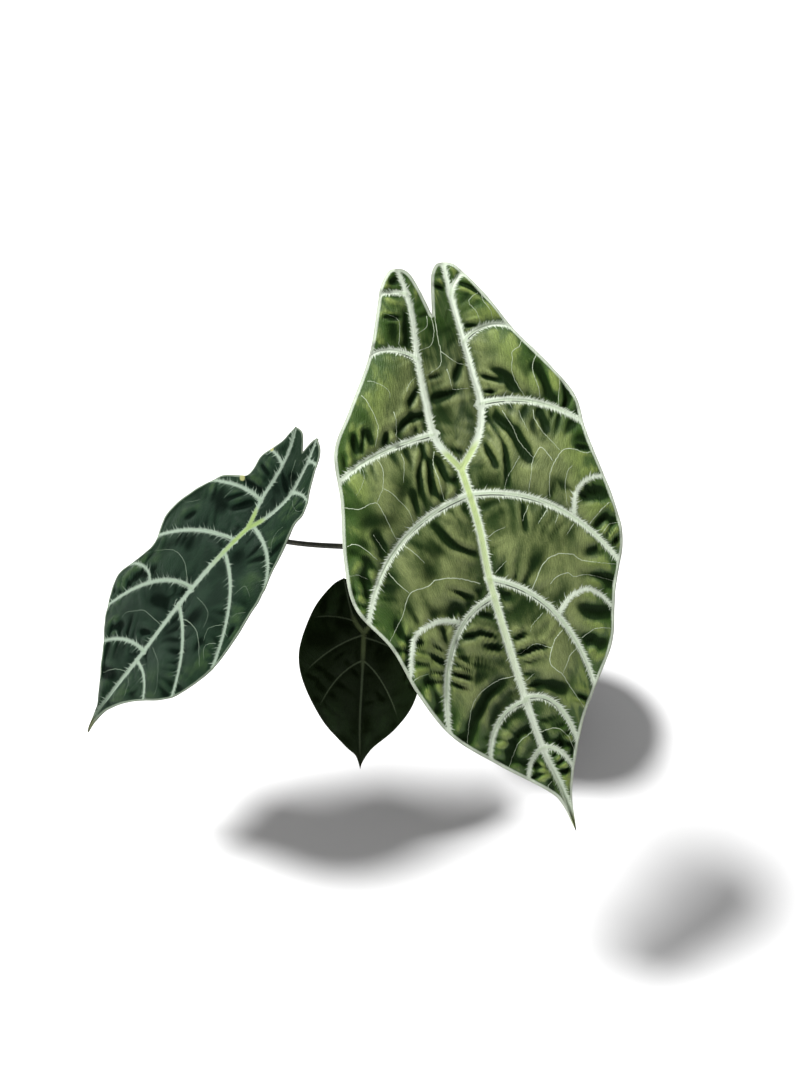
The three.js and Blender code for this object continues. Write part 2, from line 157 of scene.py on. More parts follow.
def eased(points, corner, steps=4):
    """The same line with each corner rounded off over at most the given length."""
    points = np.array(points, float)
    made = [points[:1]]
    for before, here, after in zip(points[:-2], points[1:-1], points[2:]):
        back = before - here
        on = after - here
        reach_back = min(corner, np.linalg.norm(back) / 2) / np.linalg.norm(back)
        reach_on = min(corner, np.linalg.norm(on) / 2) / np.linalg.norm(on)
        t = np.linspace(0, 1, steps + 1)[:, None]
        start = here + back * reach_back
        end = here + on * reach_on
        made.append((1 - t) ** 2 * start + 2 * t * (1 - t) * here + t ** 2 * end)
    made.append(points[-1:])
    return np.vstack(made)


def turned(profile, count):
    """Places and faces of a solid turned about Z; the profile leaves the axis and returns to it."""
    angles = np.arange(count) * 2 * math.pi / count
    rings = profile[1:-1]
    places = np.stack([
        np.outer(rings[:, 0], np.cos(angles)),
        np.outer(rings[:, 0], np.sin(angles)),
        np.repeat(rings[:, 1:], count, axis=1),
    ], axis=-1).reshape(-1, 3)
    start = len(places)
    places = np.vstack([places, [0, 0, profile[0, 1]], [0, 0, profile[-1, 1]]])
    around = np.arange(count)
    onward = (around + 1) % count
    faces = []
    for ring in range(len(rings) - 1):
        low = ring * count
        high = low + count
        faces += np.stack([low + around, low + onward, high + onward, high + around], 1).tolist()
    last = (len(rings) - 1) * count
    faces += [[start, b, a] for a, b in zip(around, onward)]
    faces += [[start + 1, last + a, last + b] for a, b in zip(around, onward)]
    return places, faces


def mesh_from(name, places, faces):
    """A smooth mesh in metres from places in millimetres."""
    mesh = bpy.data.meshes.new(name)
    mesh.from_pydata((np.asarray(places) * MM).tolist(), [], faces)
    mesh.polygons.foreach_set("use_smooth", [True] * len(mesh.polygons))
    return mesh


def new_group(name, kind, inputs, outputs):
    """A node group with named sockets; gives the tree, its inputs' outlets and its output inlets."""
    tree = bpy.data.node_groups.new(name, kind)
    for label, socket, default in inputs:
        made = tree.interface.new_socket(label, in_out="INPUT", socket_type=socket)
        if default is not None:
            made.default_value = default
    for label, socket in outputs:
        tree.interface.new_socket(label, in_out="OUTPUT", socket_type=socket)
    source = tree.nodes.new("NodeGroupInput")
    sink = tree.nodes.new("NodeGroupOutput")
    return tree, source.outputs, sink.inputs


def new_growth(name, inputs):
    """A geometry node group that works on a piece's mesh, with a material for what it makes."""
    geometry = ("Geometry", "NodeSocketGeometry")
    inputs = [(*geometry, None), *inputs, ("Material", "NodeSocketMaterial", None)]
    return new_group(name, "GeometryNodeTree", inputs, [geometry])


def end_growth(tree, inputs, outputs, geometry):
    """Gives the geometry the group's material and sends it out."""
    feeds = {"Geometry": geometry, "Material": inputs["Material"]}
    tree.links.new(add(tree, "GeometryNodeSetMaterial", feeds)[0], outputs["Geometry"])


def grow(piece, tree, **values):
    """Runs a geometry node group on the piece with the named inputs set, and keeps the mesh."""
    modifier = piece.modifiers.new(tree.name, "NODES")
    modifier.node_group = tree
    for item in tree.interface.items_tree:
        label = item.name.lower().replace(" ", "_")
        if item.item_type == "SOCKET" and item.in_out == "INPUT" and label in values:
            modifier[item.identifier] = values[label]
    shown = piece.evaluated_get(bpy.context.evaluated_depsgraph_get())
    mesh = bpy.data.meshes.new_from_object(shown)
    piece.modifiers.clear()
    piece.data = mesh
    return piece


# Patches that change over a surface, read from the piece's own object coordinates
patches, patches_in, patches_out = new_group(
    "patches",
    "ShaderNodeTree",
    [
        ("Scale", "NodeSocketFloat", 50),
        ("Detail", "NodeSocketFloat", 3),
        ("Low", "NodeSocketFloat", 0.4),
        ("High", "NodeSocketFloat", 0.6),
        ("Stretch", "NodeSocketVector", (1, 1, 1)),
    ],
    [("Mask", "NodeSocketFloat"), ("Height", "NodeSocketFloat")],
)
patches_place = add(patches, "ShaderNodeTexCoord")["Object"]
patches_place = add(
    patches, "ShaderNodeMapping", {"Vector": patches_place, "Scale": patches_in["Stretch"]}
)["Vector"]
patches_noise = add(
    patches,
    "ShaderNodeTexNoise",
    {"Vector": patches_place, "Scale": patches_in["Scale"], "Detail": patches_in["Detail"]},
)["Fac"]
patches_mask = add(
    patches,
    "ShaderNodeMapRange",
    {"Value": patches_noise, "From Min": patches_in["Low"], "From Max": patches_in["High"]},
    interpolation_type="SMOOTHSTEP",
)["Result"]
patches.links.new(patches_mask, patches_out["Mask"])
patches.links.new(patches_noise, patches_out["Height"])


def patch(tree, output="Mask", **values):
    return add(tree, "ShaderNodeGroup", values, node_tree=patches)[output]


def tint(tree, factor, under, over):
    return add(tree, "ShaderNodeMix", {0: factor, 6: under, 7: over}, data_type="RGBA")[2]


def ramp(tree, value, low, high, bottom=0.0, top=1.0):
    feeds = {"Value": value, "From Min": low, "From Max": high, "To Min": bottom, "To Max": top}
    return add(tree, "ShaderNodeMapRange", feeds, interpolation_type="SMOOTHSTEP")["Result"]


def bump(tree, skin, height, distance):
    feeds = {"Height": height, "Distance": distance, "Strength": 1.0}
    tree.links.new(add(tree, "ShaderNodeBump", feeds)["Normal"], skin["Normal"])


plastic, plastic_tree, plastic_skin = new_material("black_pot_plastic", IOR=1.5)
dull = patch(plastic_tree, Scale=34, Detail=4, Low=0.38, High=0.68)
scuffed = patch(plastic_tree, Scale=210, Detail=3, Low=0.56, High=0.72)
plastic_colour = tint(plastic_tree, dull, (0.011, 0.012, 0.013, 1), (0.020, 0.021, 0.021, 1))
plastic_colour = tint(plastic_tree, scuffed, plastic_colour, (0.030, 0.030, 0.029, 1))
plastic_tree.links.new(plastic_colour, plastic_skin["Base Color"])
plastic_tree.links.new(ramp(plastic_tree, dull, 0, 1, 0.34, 0.52), plastic_skin["Roughness"])
bump(plastic_tree, plastic_skin, patch(plastic_tree, "Height", Scale=1400, Detail=2), 0.00006)


def pot_profile():
    collar = POT_HEIGHT - POT_COLLAR
    lip = collar + POT_WALL
    line = [(0, 0), (POT_BASE - POT_BEVEL, 0), (POT_BASE, POT_BEVEL)]
    for z in POT_RINGS:
        crest = body_radius(z) + POT_RING_RISE
        line += [(body_radius(z - 1), z - 1), (crest, z - POT_RING_HALF)]
        line += [(crest, z + POT_RING_HALF), (body_radius(z + 1), z + 1)]
    line += [(body_radius(lip), lip), (POT_RIM - POT_WALL, lip), (POT_RIM - POT_WALL, collar)]
    line += [(POT_RIM - 0.5, collar), (POT_RIM, POT_HEIGHT - 2), (POT_RIM - 1, POT_HEIGHT)]
    line += [(inner_radius(POT_HEIGHT), POT_HEIGHT), (inner_radius(4), 4)]
    line += [(inner_radius(POT_WALL) - POT_BEVEL, POT_WALL), (0, POT_WALL)]
    return eased(line, POT_CORNER)


# Round perforations through a floor, set evenly on a circle
perforations, holes_in, holes_out = new_growth(
    "drain_holes",
    [
        ("Count", "NodeSocketInt", HOLE_COUNT),
        ("Circle", "NodeSocketFloat", HOLE_CIRCLE * MM),
        ("Hole", "NodeSocketFloat", HOLE_RADIUS * MM),
    ],
)
feeds = {"Vertices": holes_in["Count"], "Radius": holes_in["Circle"]}
hole_spots = add(perforations, "GeometryNodeMeshCircle", feeds)["Mesh"]
feeds = {"Vertices": HOLE_SIDES, "Radius": holes_in["Hole"], "Depth": 4 * POT_WALL * MM}
hole_drill = add(perforations, "GeometryNodeMeshCylinder", feeds)["Mesh"]
feeds = {"Points": hole_spots, "Instance": hole_drill}
hole_drills = add(perforations, "GeometryNodeInstanceOnPoints", feeds)["Instances"]
feeds = {"Geometry": hole_drills, "Rotation": (0, 0, math.pi / HOLE_COUNT)}
hole_drills = add(perforations, "GeometryNodeTransform", feeds)["Geometry"]
hole_drills = add(perforations, "GeometryNodeRealizeInstances", {"Geometry": hole_drills})[0]
feeds = {"Mesh 1": holes_in["Geometry"], "Mesh 2": hole_drills}
drilled = add(perforations, "GeometryNodeMeshBoolean", feeds)["Mesh"]
end_growth(perforations, holes_in, holes_out, drilled)

pot = new_object("pot_shell", mesh_from("pot_shell", *turned(pot_profile(), POT_SEGMENTS)))
pot = grow(pot, perforations, material=plastic)
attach(pot, "root")
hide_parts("pot")


# The soil: damp bark and peat pressed into the pot to 14 mm under its rim, lumpy on top, with
# loose bark chips, crumbs of peat and white perlite grains lying in it.

SOIL_LEVEL = 104
SOIL_LUMP = 2.2
SOIL_RINGS = 84
SOIL_SPOKES = 200
SOIL_GAP = 0.3
STEM_RADIUS = 14
HEAP_HEIGHT = 1.6
HEAP_WIDTH = 7
COARSE_CRUMBS = 3.1
FINE_CRUMBS = 1.4
CHIPS_FROM_WALL = 4.5
CHIPS_BELOW_TOP = 8
CHIPS_FROM_AXIS = 16.5
CHIP_TILT = 0.7
CHIP_TURN = 6.28


def rough_field(x, y, cell, seed):
    """Smooth random values from -1 to 1 over a plane, with bumps about one cell across."""
    lattice = np.random.default_rng(seed).uniform(-1, 1, (64, 64))
    column = np.floor(x / cell).astype(int)
    row = np.floor(y / cell).astype(int)
    u = x / cell - column
    v = y / cell - row
    u = u * u * (3 - 2 * u)
    v = v * v * (3 - 2 * v)
    near = lattice[column % 64, row % 64] * (1 - u) + lattice[(column + 1) % 64, row % 64] * u
    far_row = (row + 1) % 64
    far = lattice[column % 64, far_row] * (1 - u) + lattice[(column + 1) % 64, far_row] * u
    return near * (1 - v) + far * v


def soil_lumps(x, y):
    wide = np.sin(x * 0.13 + 1.3) * np.cos(y * 0.11 - 0.4)
    narrow = np.sin(x * 0.31 - y * 0.22 + 0.8) * np.sin(y * 0.35 + x * 0.12)
    return SOIL_LUMP * (0.6 * wide + 0.4 * narrow)


def soil_mesh():
    edge = inner_radius(SOIL_LEVEL) - SOIL_GAP
    floor = POT_WALL + SOIL_GAP
    side = [(0, floor), (inner_radius(2) - floor, floor), (inner_radius(4) - SOIL_GAP, floor + 2)]
    top = [(edge * ring / SOIL_RINGS, SOIL_LEVEL) for ring in range(SOIL_RINGS, -1, -1)]
    places, faces = turned(np.array(side + top, float), SOIL_SPOKES)
    x, y, z = places.T
    radius = np.hypot(x, y)
    crumbs = 0.9 * rough_field(x, y, COARSE_CRUMBS, 4) + 0.5 * rough_field(x, y, FINE_CRUMBS, 5)
    heap = HEAP_HEIGHT * np.exp(-((radius - STEM_RADIUS) / HEAP_WIDTH) ** 2)
    rise = (soil_lumps(x, y) + heap) * (1 - (radius / edge) ** 6) + crumbs
    places[:, 2] = np.where(z > SOIL_LEVEL - 1, z + rise * (radius < edge - 0.01), z)
    return mesh_from("soil_bed", places, faces)


def maths(tree, operation, *values):
    return add(tree, "ShaderNodeMath", dict(enumerate(values)), operation=operation)[0]


def product(tree, first, *others):
    """All the values multiplied together."""
    for value in others:
        first = maths(tree, "MULTIPLY", first, value)
    return first


# Loose bits scattered over the top of the soil, each a lump pulled out of true by noise
scatter, bits_in, bits_out = new_growth(
    "loose_bits",
    [
        ("Per Square Metre", "NodeSocketFloat", 10000),
        ("Length", "NodeSocketFloat", 0.004),
        ("Flatness", "NodeSocketVector", (1, 1, 1)),
        ("Smallest", "NodeSocketFloat", 0.5),
        ("Rough", "NodeSocketFloat", 0.001),
        ("Seed", "NodeSocketInt", 1),
    ],
)
bit_place = add(scatter, "GeometryNodeInputPosition")[0]
bit_x, bit_y, bit_z = add(scatter, "ShaderNodeSeparateXYZ", {0: bit_place})
bit_square = maths(scatter, "ADD", product(scatter, bit_x, bit_x), product(scatter, bit_y, bit_y))
bit_radius = maths(scatter, "SQRT", bit_square)
bit_clear = product(
    scatter,
    maths(scatter, "LESS_THAN", bit_radius, (inner_radius(SOIL_LEVEL) - CHIPS_FROM_WALL) * MM),
    maths(scatter, "GREATER_THAN", bit_radius, CHIPS_FROM_AXIS * MM),
    maths(scatter, "GREATER_THAN", bit_z, (SOIL_LEVEL - CHIPS_BELOW_TOP) * MM),
)
feeds = {
    "Mesh": bits_in["Geometry"],
    "Selection": bit_clear,
    "Density": bits_in["Per Square Metre"],
    "Seed": bits_in["Seed"],
}
bit_spots = add(scatter, "GeometryNodeDistributePointsOnFaces", feeds)["Points"]
feeds = {
    "Max": (CHIP_TILT, CHIP_TILT, CHIP_TURN),
    "Min": (-CHIP_TILT, -CHIP_TILT, 0),
    "Seed": bits_in["Seed"],
}
bit_turn = add(scatter, "FunctionNodeRandomValue", feeds, data_type="FLOAT_VECTOR")[0]
feeds = {2: bits_in["Smallest"], 3: 1.0, "Seed": bits_in["Seed"]}
bit_size = add(scatter, "FunctionNodeRandomValue", feeds, data_type="FLOAT")[1]
feeds = {"Segments": 7, "Rings": 5, "Radius": 0.5}
bit_shape = add(scatter, "GeometryNodeMeshUVSphere", feeds)["Mesh"]
feeds = {"Geometry": bit_shape, "Scale": bits_in["Flatness"]}
bit_shape = add(scatter, "GeometryNodeTransform", feeds)["Geometry"]
feeds = {
    "Points": bit_spots,
    "Instance": bit_shape,
    "Rotation": bit_turn,
    "Scale": product(scatter, bit_size, bits_in["Length"]),
}
bits = add(scatter, "GeometryNodeInstanceOnPoints", feeds)["Instances"]
bits = add(scatter, "GeometryNodeRealizeInstances", {"Geometry": bits})[0]
bit_pull = add(scatter, "ShaderNodeTexNoise", {"Scale": 620, "Detail": 1})["Color"]
feeds = {0: bit_pull, 1: (0.5, 0.5, 0.5)}
bit_pull = add(scatter, "ShaderNodeVectorMath", feeds, operation="SUBTRACT")[0]
feeds = {0: bit_pull, 3: bits_in["Rough"]}
bit_pull = add(scatter, "ShaderNodeVectorMath", feeds, operation="SCALE")[0]
bits = add(scatter, "GeometryNodeSetPosition", {"Geometry": bits, "Offset": bit_pull})[0]
end_growth(scatter, bits_in, bits_out, bits)


def earthy(name, dark, light, scale, roughness, grain):
    made, tree, skin = new_material(name, Roughness=roughness)
    fleck = patch(tree, Scale=scale, Detail=5, Low=0.36, High=0.66)
    tree.links.new(tint(tree, fleck, dark, light), skin["Base Color"])
    bump(tree, skin, patch(tree, "Height", Scale=scale * 5, Detail=4), grain)
    return made


soil_skin = earthy("damp_mix", (0.010, 0.006, 0.004, 1), (0.055, 0.034, 0.020, 1), 300, 0.95, 0.0006)
bark_skin = earthy("bark", (0.030, 0.013, 0.006, 1), (0.150, 0.075, 0.034, 1), 260, 0.85, 0.0004)
peat_skin = earthy("peat", (0.012, 0.007, 0.004, 1), (0.040, 0.024, 0.014, 1), 500, 0.95, 0.0003)
perlite_skin = earthy("perlite", (0.50, 0.49, 0.46, 1), (0.80, 0.79, 0.76, 1), 900, 0.9, 0.0003)

soil = new_object("soil_bed", soil_mesh())
soil.data.materials.append(soil_skin)
BIT_SETTINGS = ("per_square_metre", "length", "flatness", "smallest", "rough", "seed", "material")
LOOSE_BITS = {
    "bark_chips": (42000, 0.0088, (1, 0.6, 0.28), 0.4, 0.0030, 11, bark_skin),
    "peat_crumbs": (130000, 0.0030, (1, 0.8, 0.7), 0.35, 0.0016, 12, peat_skin),
    "perlite_grains": (15000, 0.0042, (1, 0.85, 0.75), 0.45, 0.0016, 13, perlite_skin),
}
loose = []
for name, settings in LOOSE_BITS.items():
    piece = new_object(name, soil.data.copy())
    loose.append(grow(piece, scatter, **dict(zip(BIT_SETTINGS, settings))))
for piece in (soil, *loose):
    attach(piece, "root")
    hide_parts("soil")


# The rhizome: the plant's short upright stem, brown and corky, ringed by the scars of fallen
# leaves and standing in the soil.

RHIZOME_BOTTOM = 62
RHIZOME_TOP = 123
RHIZOME_SHOULDER = 7
RHIZOME_TOE = 4
RHIZOME_RINGS = 92
RHIZOME_SIDES = 96
SCAR_SPACING = 5.5
SCAR_DEPTH = 0.9


def rhizome_mesh():
    heights = np.linspace(RHIZOME_BOTTOM, RHIZOME_TOP, RHIZOME_RINGS)
    shoulder = np.clip((RHIZOME_TOP - heights) / RHIZOME_SHOULDER, 0, 1)
    toe = np.clip((heights - RHIZOME_BOTTOM) / RHIZOME_TOE, 0.3, 1)
    radii = STEM_RADIUS * np.sqrt(1 - (1 - shoulder) ** 2) * (0.8 + 0.2 * toe)
    profile = np.stack([radii, heights], 1)
    profile[0, 0] = STEM_RADIUS * 0.8
    profile = np.vstack([[0, RHIZOME_BOTTOM], profile[:-1], [0, RHIZOME_TOP]])
    places, faces = turned(profile, RHIZOME_SIDES)
    x, y, z = places.T
    radius = np.hypot(x, y)
    angle = np.arctan2(y, x)
    slant = z + 1.1 * np.sin(angle + 0.21 * z) + 0.5 * np.sin(3 * angle)
    ring = 0.5 - 0.5 * np.cos(2 * math.pi * slant / SCAR_SPACING)
    fibre = 0.25 * rough_field(angle * STEM_RADIUS + 60, z, 1.3, 8)
    cut = SCAR_DEPTH * ring ** 3 - fibre
    keep = np.where(radius > 6, 1 - cut / np.maximum(radius, 1), 1)
    return mesh_from("rhizome_stem", np.stack([x * keep, y * keep, z], 1), faces)


cork, cork_tree, cork_skin = new_material("corky_stem", Roughness=0.85)
cork_streak = patch(cork_tree, Scale=420, Detail=4, Low=0.35, High=0.65, Stretch=(1, 1, 0.25))
cork_patch = patch(cork_tree, Scale=90, Detail=3, Low=0.42, High=0.62)
cork_colour = tint(cork_tree, cork_streak, (0.040, 0.022, 0.012, 1), (0.15, 0.095, 0.052, 1))
cork_colour = tint(cork_tree, cork_patch, cork_colour, (0.095, 0.085, 0.045, 1))
cork_tree.links.new(cork_colour, cork_skin["Base Color"])
bump(cork_tree, cork_skin, cork_streak, 0.0005)

rhizome = new_object("rhizome_stem", rhizome_mesh())
rhizome.data.materials.append(cork)
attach(rhizome, "root")
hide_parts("rhizome")


# The leaf stalks: round, fleshy and near-black green with a waxy skin, thickest at the foot,
# where each stands in the rhizome's crown, and bent over at the neck into the back of its blade.

STALK_START = 111.3
CROWN = 128
STALK_END = 0.7
NECK_START = 3.3
STALK_TAPER = 1.6
STALK_SIDES = 28
STALK_RINGS = 96
STALK_FOOT_RINGS = 8


def leaf_axes(heading, droop, roll):
    """Unit vectors across a blade, toward its lobes and out of its upper face."""
    heading, droop, roll = np.radians([heading, droop, roll])
    ahead = np.array([math.cos(heading), math.sin(heading), 0])
    lobes = np.array([0, 0, math.sin(droop)]) - ahead * math.cos(droop)
    level = np.array([0, 0, math.cos(droop)]) + ahead * math.sin(droop)
    upper = level * math.cos(roll) + np.cross(lobes, level) * math.sin(roll)
    return np.cross(lobes, upper), lobes, upper


STALKS = {
    "large": {
        "joint": (-55, -124, 343), "axes": leaf_axes(-64, 47, -14),
        "foot": (4.5, -3), "rise": 110, "neck": 80, "foot_radius": 4.6, "neck_radius": 2.3,
    },
    "medium": {
        "joint": (-189, -65, 250), "axes": leaf_axes(-155, 36, 8),
        "foot": (-3, 6), "rise": 69, "neck": 67, "foot_radius": 3.6, "neck_radius": 1.7,
    },
    "small": {
        "joint": (-115, -73, 162), "axes": leaf_axes(-90, 50, 0),
        "foot": (-5.5, -5.5), "rise": 35, "neck": 30, "foot_radius": 2.7, "neck_radius": 1.3,
    },
}


def run_length(points):
    steps = np.linalg.norm(np.diff(points, axis=0), axis=1)
    return np.concatenate([[0], np.cumsum(steps)])


def stalk_line(name, stalk):
    """The stalk's middle line as a mesh of edges that carries its half thickness."""
    joint = np.array(stalk["joint"], float)
    upper = stalk["axes"][2]
    foot = np.array([*stalk["foot"], STALK_START])
    crown = np.array([*stalk["foot"], CROWN])
    neck = joint - NECK_START * upper
    first = crown + [0, 0, stalk["rise"]]
    second = neck - stalk["neck"] * upper
    t = np.linspace(0, 1, STALK_RINGS + 1)[1:, None]
    arch = (1 - t) ** 3 * crown + 3 * t * (1 - t) ** 2 * first
    arch = arch + 3 * t * t * (1 - t) * second + t ** 3 * neck
    sheath = np.linspace(foot, crown, STALK_FOOT_RINGS + 1)
    places = np.vstack([sheath, arch, [joint - STALK_END * upper]])
    run = run_length(places)
    slim = stalk["neck_radius"]
    girth = slim + (stalk["foot_radius"] - slim) * (1 - run / run[-1]) ** STALK_TAPER
    mesh = bpy.data.meshes.new(name)
    mesh.from_pydata((places * MM).tolist(), [(i, i + 1) for i in range(len(places) - 1)], [])
    mesh.attributes.new("girth", "FLOAT", "POINT").data.foreach_set("value", girth * MM)
    return mesh


stalk_tree, stalk_in, stalk_out = new_growth(
    "round_stalk", [("Sides", "NodeSocketInt", STALK_SIDES)]
)
stalk_girth = add(
    stalk_tree, "GeometryNodeInputNamedAttribute", {"Name": "girth"}, data_type="FLOAT"
)["Attribute"]
stalk_curve = add(stalk_tree, "GeometryNodeMeshToCurve", {"Mesh": stalk_in["Geometry"]})[0]
feeds = {"Resolution": stalk_in["Sides"], "Radius": 1}
stalk_section = add(stalk_tree, "GeometryNodeCurvePrimitiveCircle", feeds)["Curve"]
feeds = {
    "Curve": stalk_curve, "Profile Curve": stalk_section, "Scale": stalk_girth, "Fill Caps": True,
}
stalk_body = add(stalk_tree, "GeometryNodeCurveToMesh", feeds)["Mesh"]
end_growth(stalk_tree, stalk_in, stalk_out, stalk_body)

stalk_skin, skin_tree, skin_in = new_material("stalk_skin", Roughness=0.42, IOR=1.42)
mottle = patch(skin_tree, Scale=380, Detail=4, Low=0.40, High=0.64)
streak = patch(skin_tree, Scale=900, Detail=3, Low=0.50, High=0.72, Stretch=(1, 1, 0.2))
stalk_colour = tint(skin_tree, mottle, (0.012, 0.014, 0.008, 1), (0.030, 0.034, 0.016, 1))
stalk_colour = tint(skin_tree, streak, stalk_colour, (0.050, 0.040, 0.024, 1))
skin_tree.links.new(stalk_colour, skin_in["Base Color"])
bump(skin_tree, skin_in, streak, 0.00012)

for name, stalk in STALKS.items():
    piece = new_object(f"petiole_{name}_stalk", stalk_line(name, stalk))
    piece = grow(piece, stalk_tree, material=stalk_skin)
    piece.data.polygons.foreach_set("use_smooth", [True] * len(piece.data.polygons))
    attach(piece, "root")
    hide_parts(f"petiole_{name}")


# The large blade: one leathery leaf with two long back lobes. Side veins run from its ribs to
# its margin and the lamina bulges up between them; the ribs stand proud of its underside.
# Its own plane has its origin at the stalk, +Y toward the lobes and +Z out of the upper face.

LAMINA = 0.8
MARGIN_THICKNESS = 0.5
MIDRIB_RIDGE = 2
VEIN_RIDGE = 0.8
TIP_RIDGE_SHARE = 0.25
MARGIN_LIFT = 0.45
FULL_QUILT_WIDTH = 45
RIB_STATION = 1.1
CELL_SLACK = 0.7
THREAD_STEP = 0.9
THREAD_SHARE = 0.62
THREAD_RISE = 0.12
THREAD_WOBBLE = 0.12
THREAD_CAST = 30
QUILT_FULLNESS = 0.72
GUTTER_ROUND = 2.5
VEIN_STRIDE = 70
RELIEF_CLEARANCE = 3
PLEAT_FADE = 14
RIB_PLEAT_FADE = 11
BUSY_BY_JOINT = 38
BUSY_BY_EDGE = 18
CALM_BY_TIP = 70

# Cell is the mesh's own step and rows its count from a rib outward. Arch holds the bend radii
# toward the tip and toward the lobes, gutter the slope and radius beside the ribs, and quilt the
# rise between side veins. Ripple, busy, pleat_spacing and fold_depth set the finer relief.
LARGE = {
    "cell": 1.15,
    "rows": 60,
    "lobe_rows": 36,
    "arch": (520, 900),
    "gutter": (0.2, 260),
    "quilt": 4.6,
    "ripple": 1.4,
    "busy": 1,
    "pleat_spacing": 8,
    "fold_depth": 2.8,
    "rib_half": 2.8,
    "vein_half": 2.1,
    "midrib": [(0, 0), (0, -34), (-3, -71), (-2, -128), (1, -171), (6, -198), (9, -231)],
    "left": {
        "rib": [(0, 0), (-9, 20), (-8, 42), (-5, 67), (0, 93), (1, 110), (0, 122)],
        "margin": [
            (0, 122), (-4, 122), (-8, 119), (-13, 113), (-19, 101), (-32, 76), (-52, 50),
            (-67, 30), (-72, 2), (-80, -30), (-82, -58), (-69, -86), (-62, -116), (-50, -146),
            (-27, -173), (-3, -198), (4, -210), (9, -231),
        ],
        "inner": [(0, 122), (4, 120), (7, 115), (9, 105), (11, 90)],
        "veins": [
            [(1, 106), (-7, 110), (-14, 109)], [(-5, 68), (-20, 82), (-32, 76)],
            [(-10, 23), (-48, 25), (-70, 13)], [(-2, -16), (-56, -19), (-77, -69)],
            [(-4, -75), (-42, -80), (-51, -144)], [(-2, -140), (-25, -140), (-30, -169)],
            [(1, -172), (-9, -174), (-12, -190)],
        ],
    },
    "right": {
        "rib": [(0, 0), (15, 15), (22, 32), (23, 51), (24, 72), (25, 95), (27, 118)],
        "margin": [
            (27, 118), (31, 116), (35, 111), (43, 94), (54, 66), (67, 40), (75, 20), (75, -4),
            (79, -47), (77, -69), (65, -94), (56, -121), (41, -143), (28, -162), (17, -188),
            (11, -207), (9, -231),
        ],
        "inner": [(27, 118), (23, 118), (19, 114), (16, 107), (11, 90)],
        "veins": [
            [(25, 98), (29, 105), (35, 108)], [(25, 70), (40, 80), (53, 69)],
            [(23, 32), (52, 31), (76, 5)], [(1, -15), (50, -24), (72, -78)],
            [(-1, -66), (37, -85), (40, -145)], [(-2, -139), (19, -138), (21, -176)],
            [(1, -172), (12, -172), (16, -190)],
        ],
    },
}

# Branches of the side veins: the points of each from where it leaves its vein, and its width
LARGE["branches"] = [
    ((54, -43), (57, -34), (62, -29), (67, -27), (72, -27), (76, -28), 2),
    ((-28, -83), (-35, -80), (-41, -79), (-51, -81), (-56, -86), (-59, -93), (-63, -105), 2.2),
    ((31, -95), (35, -91), (40, -88), (48, -87), (53, -90), (57, -95), (61, -102), 2),
]

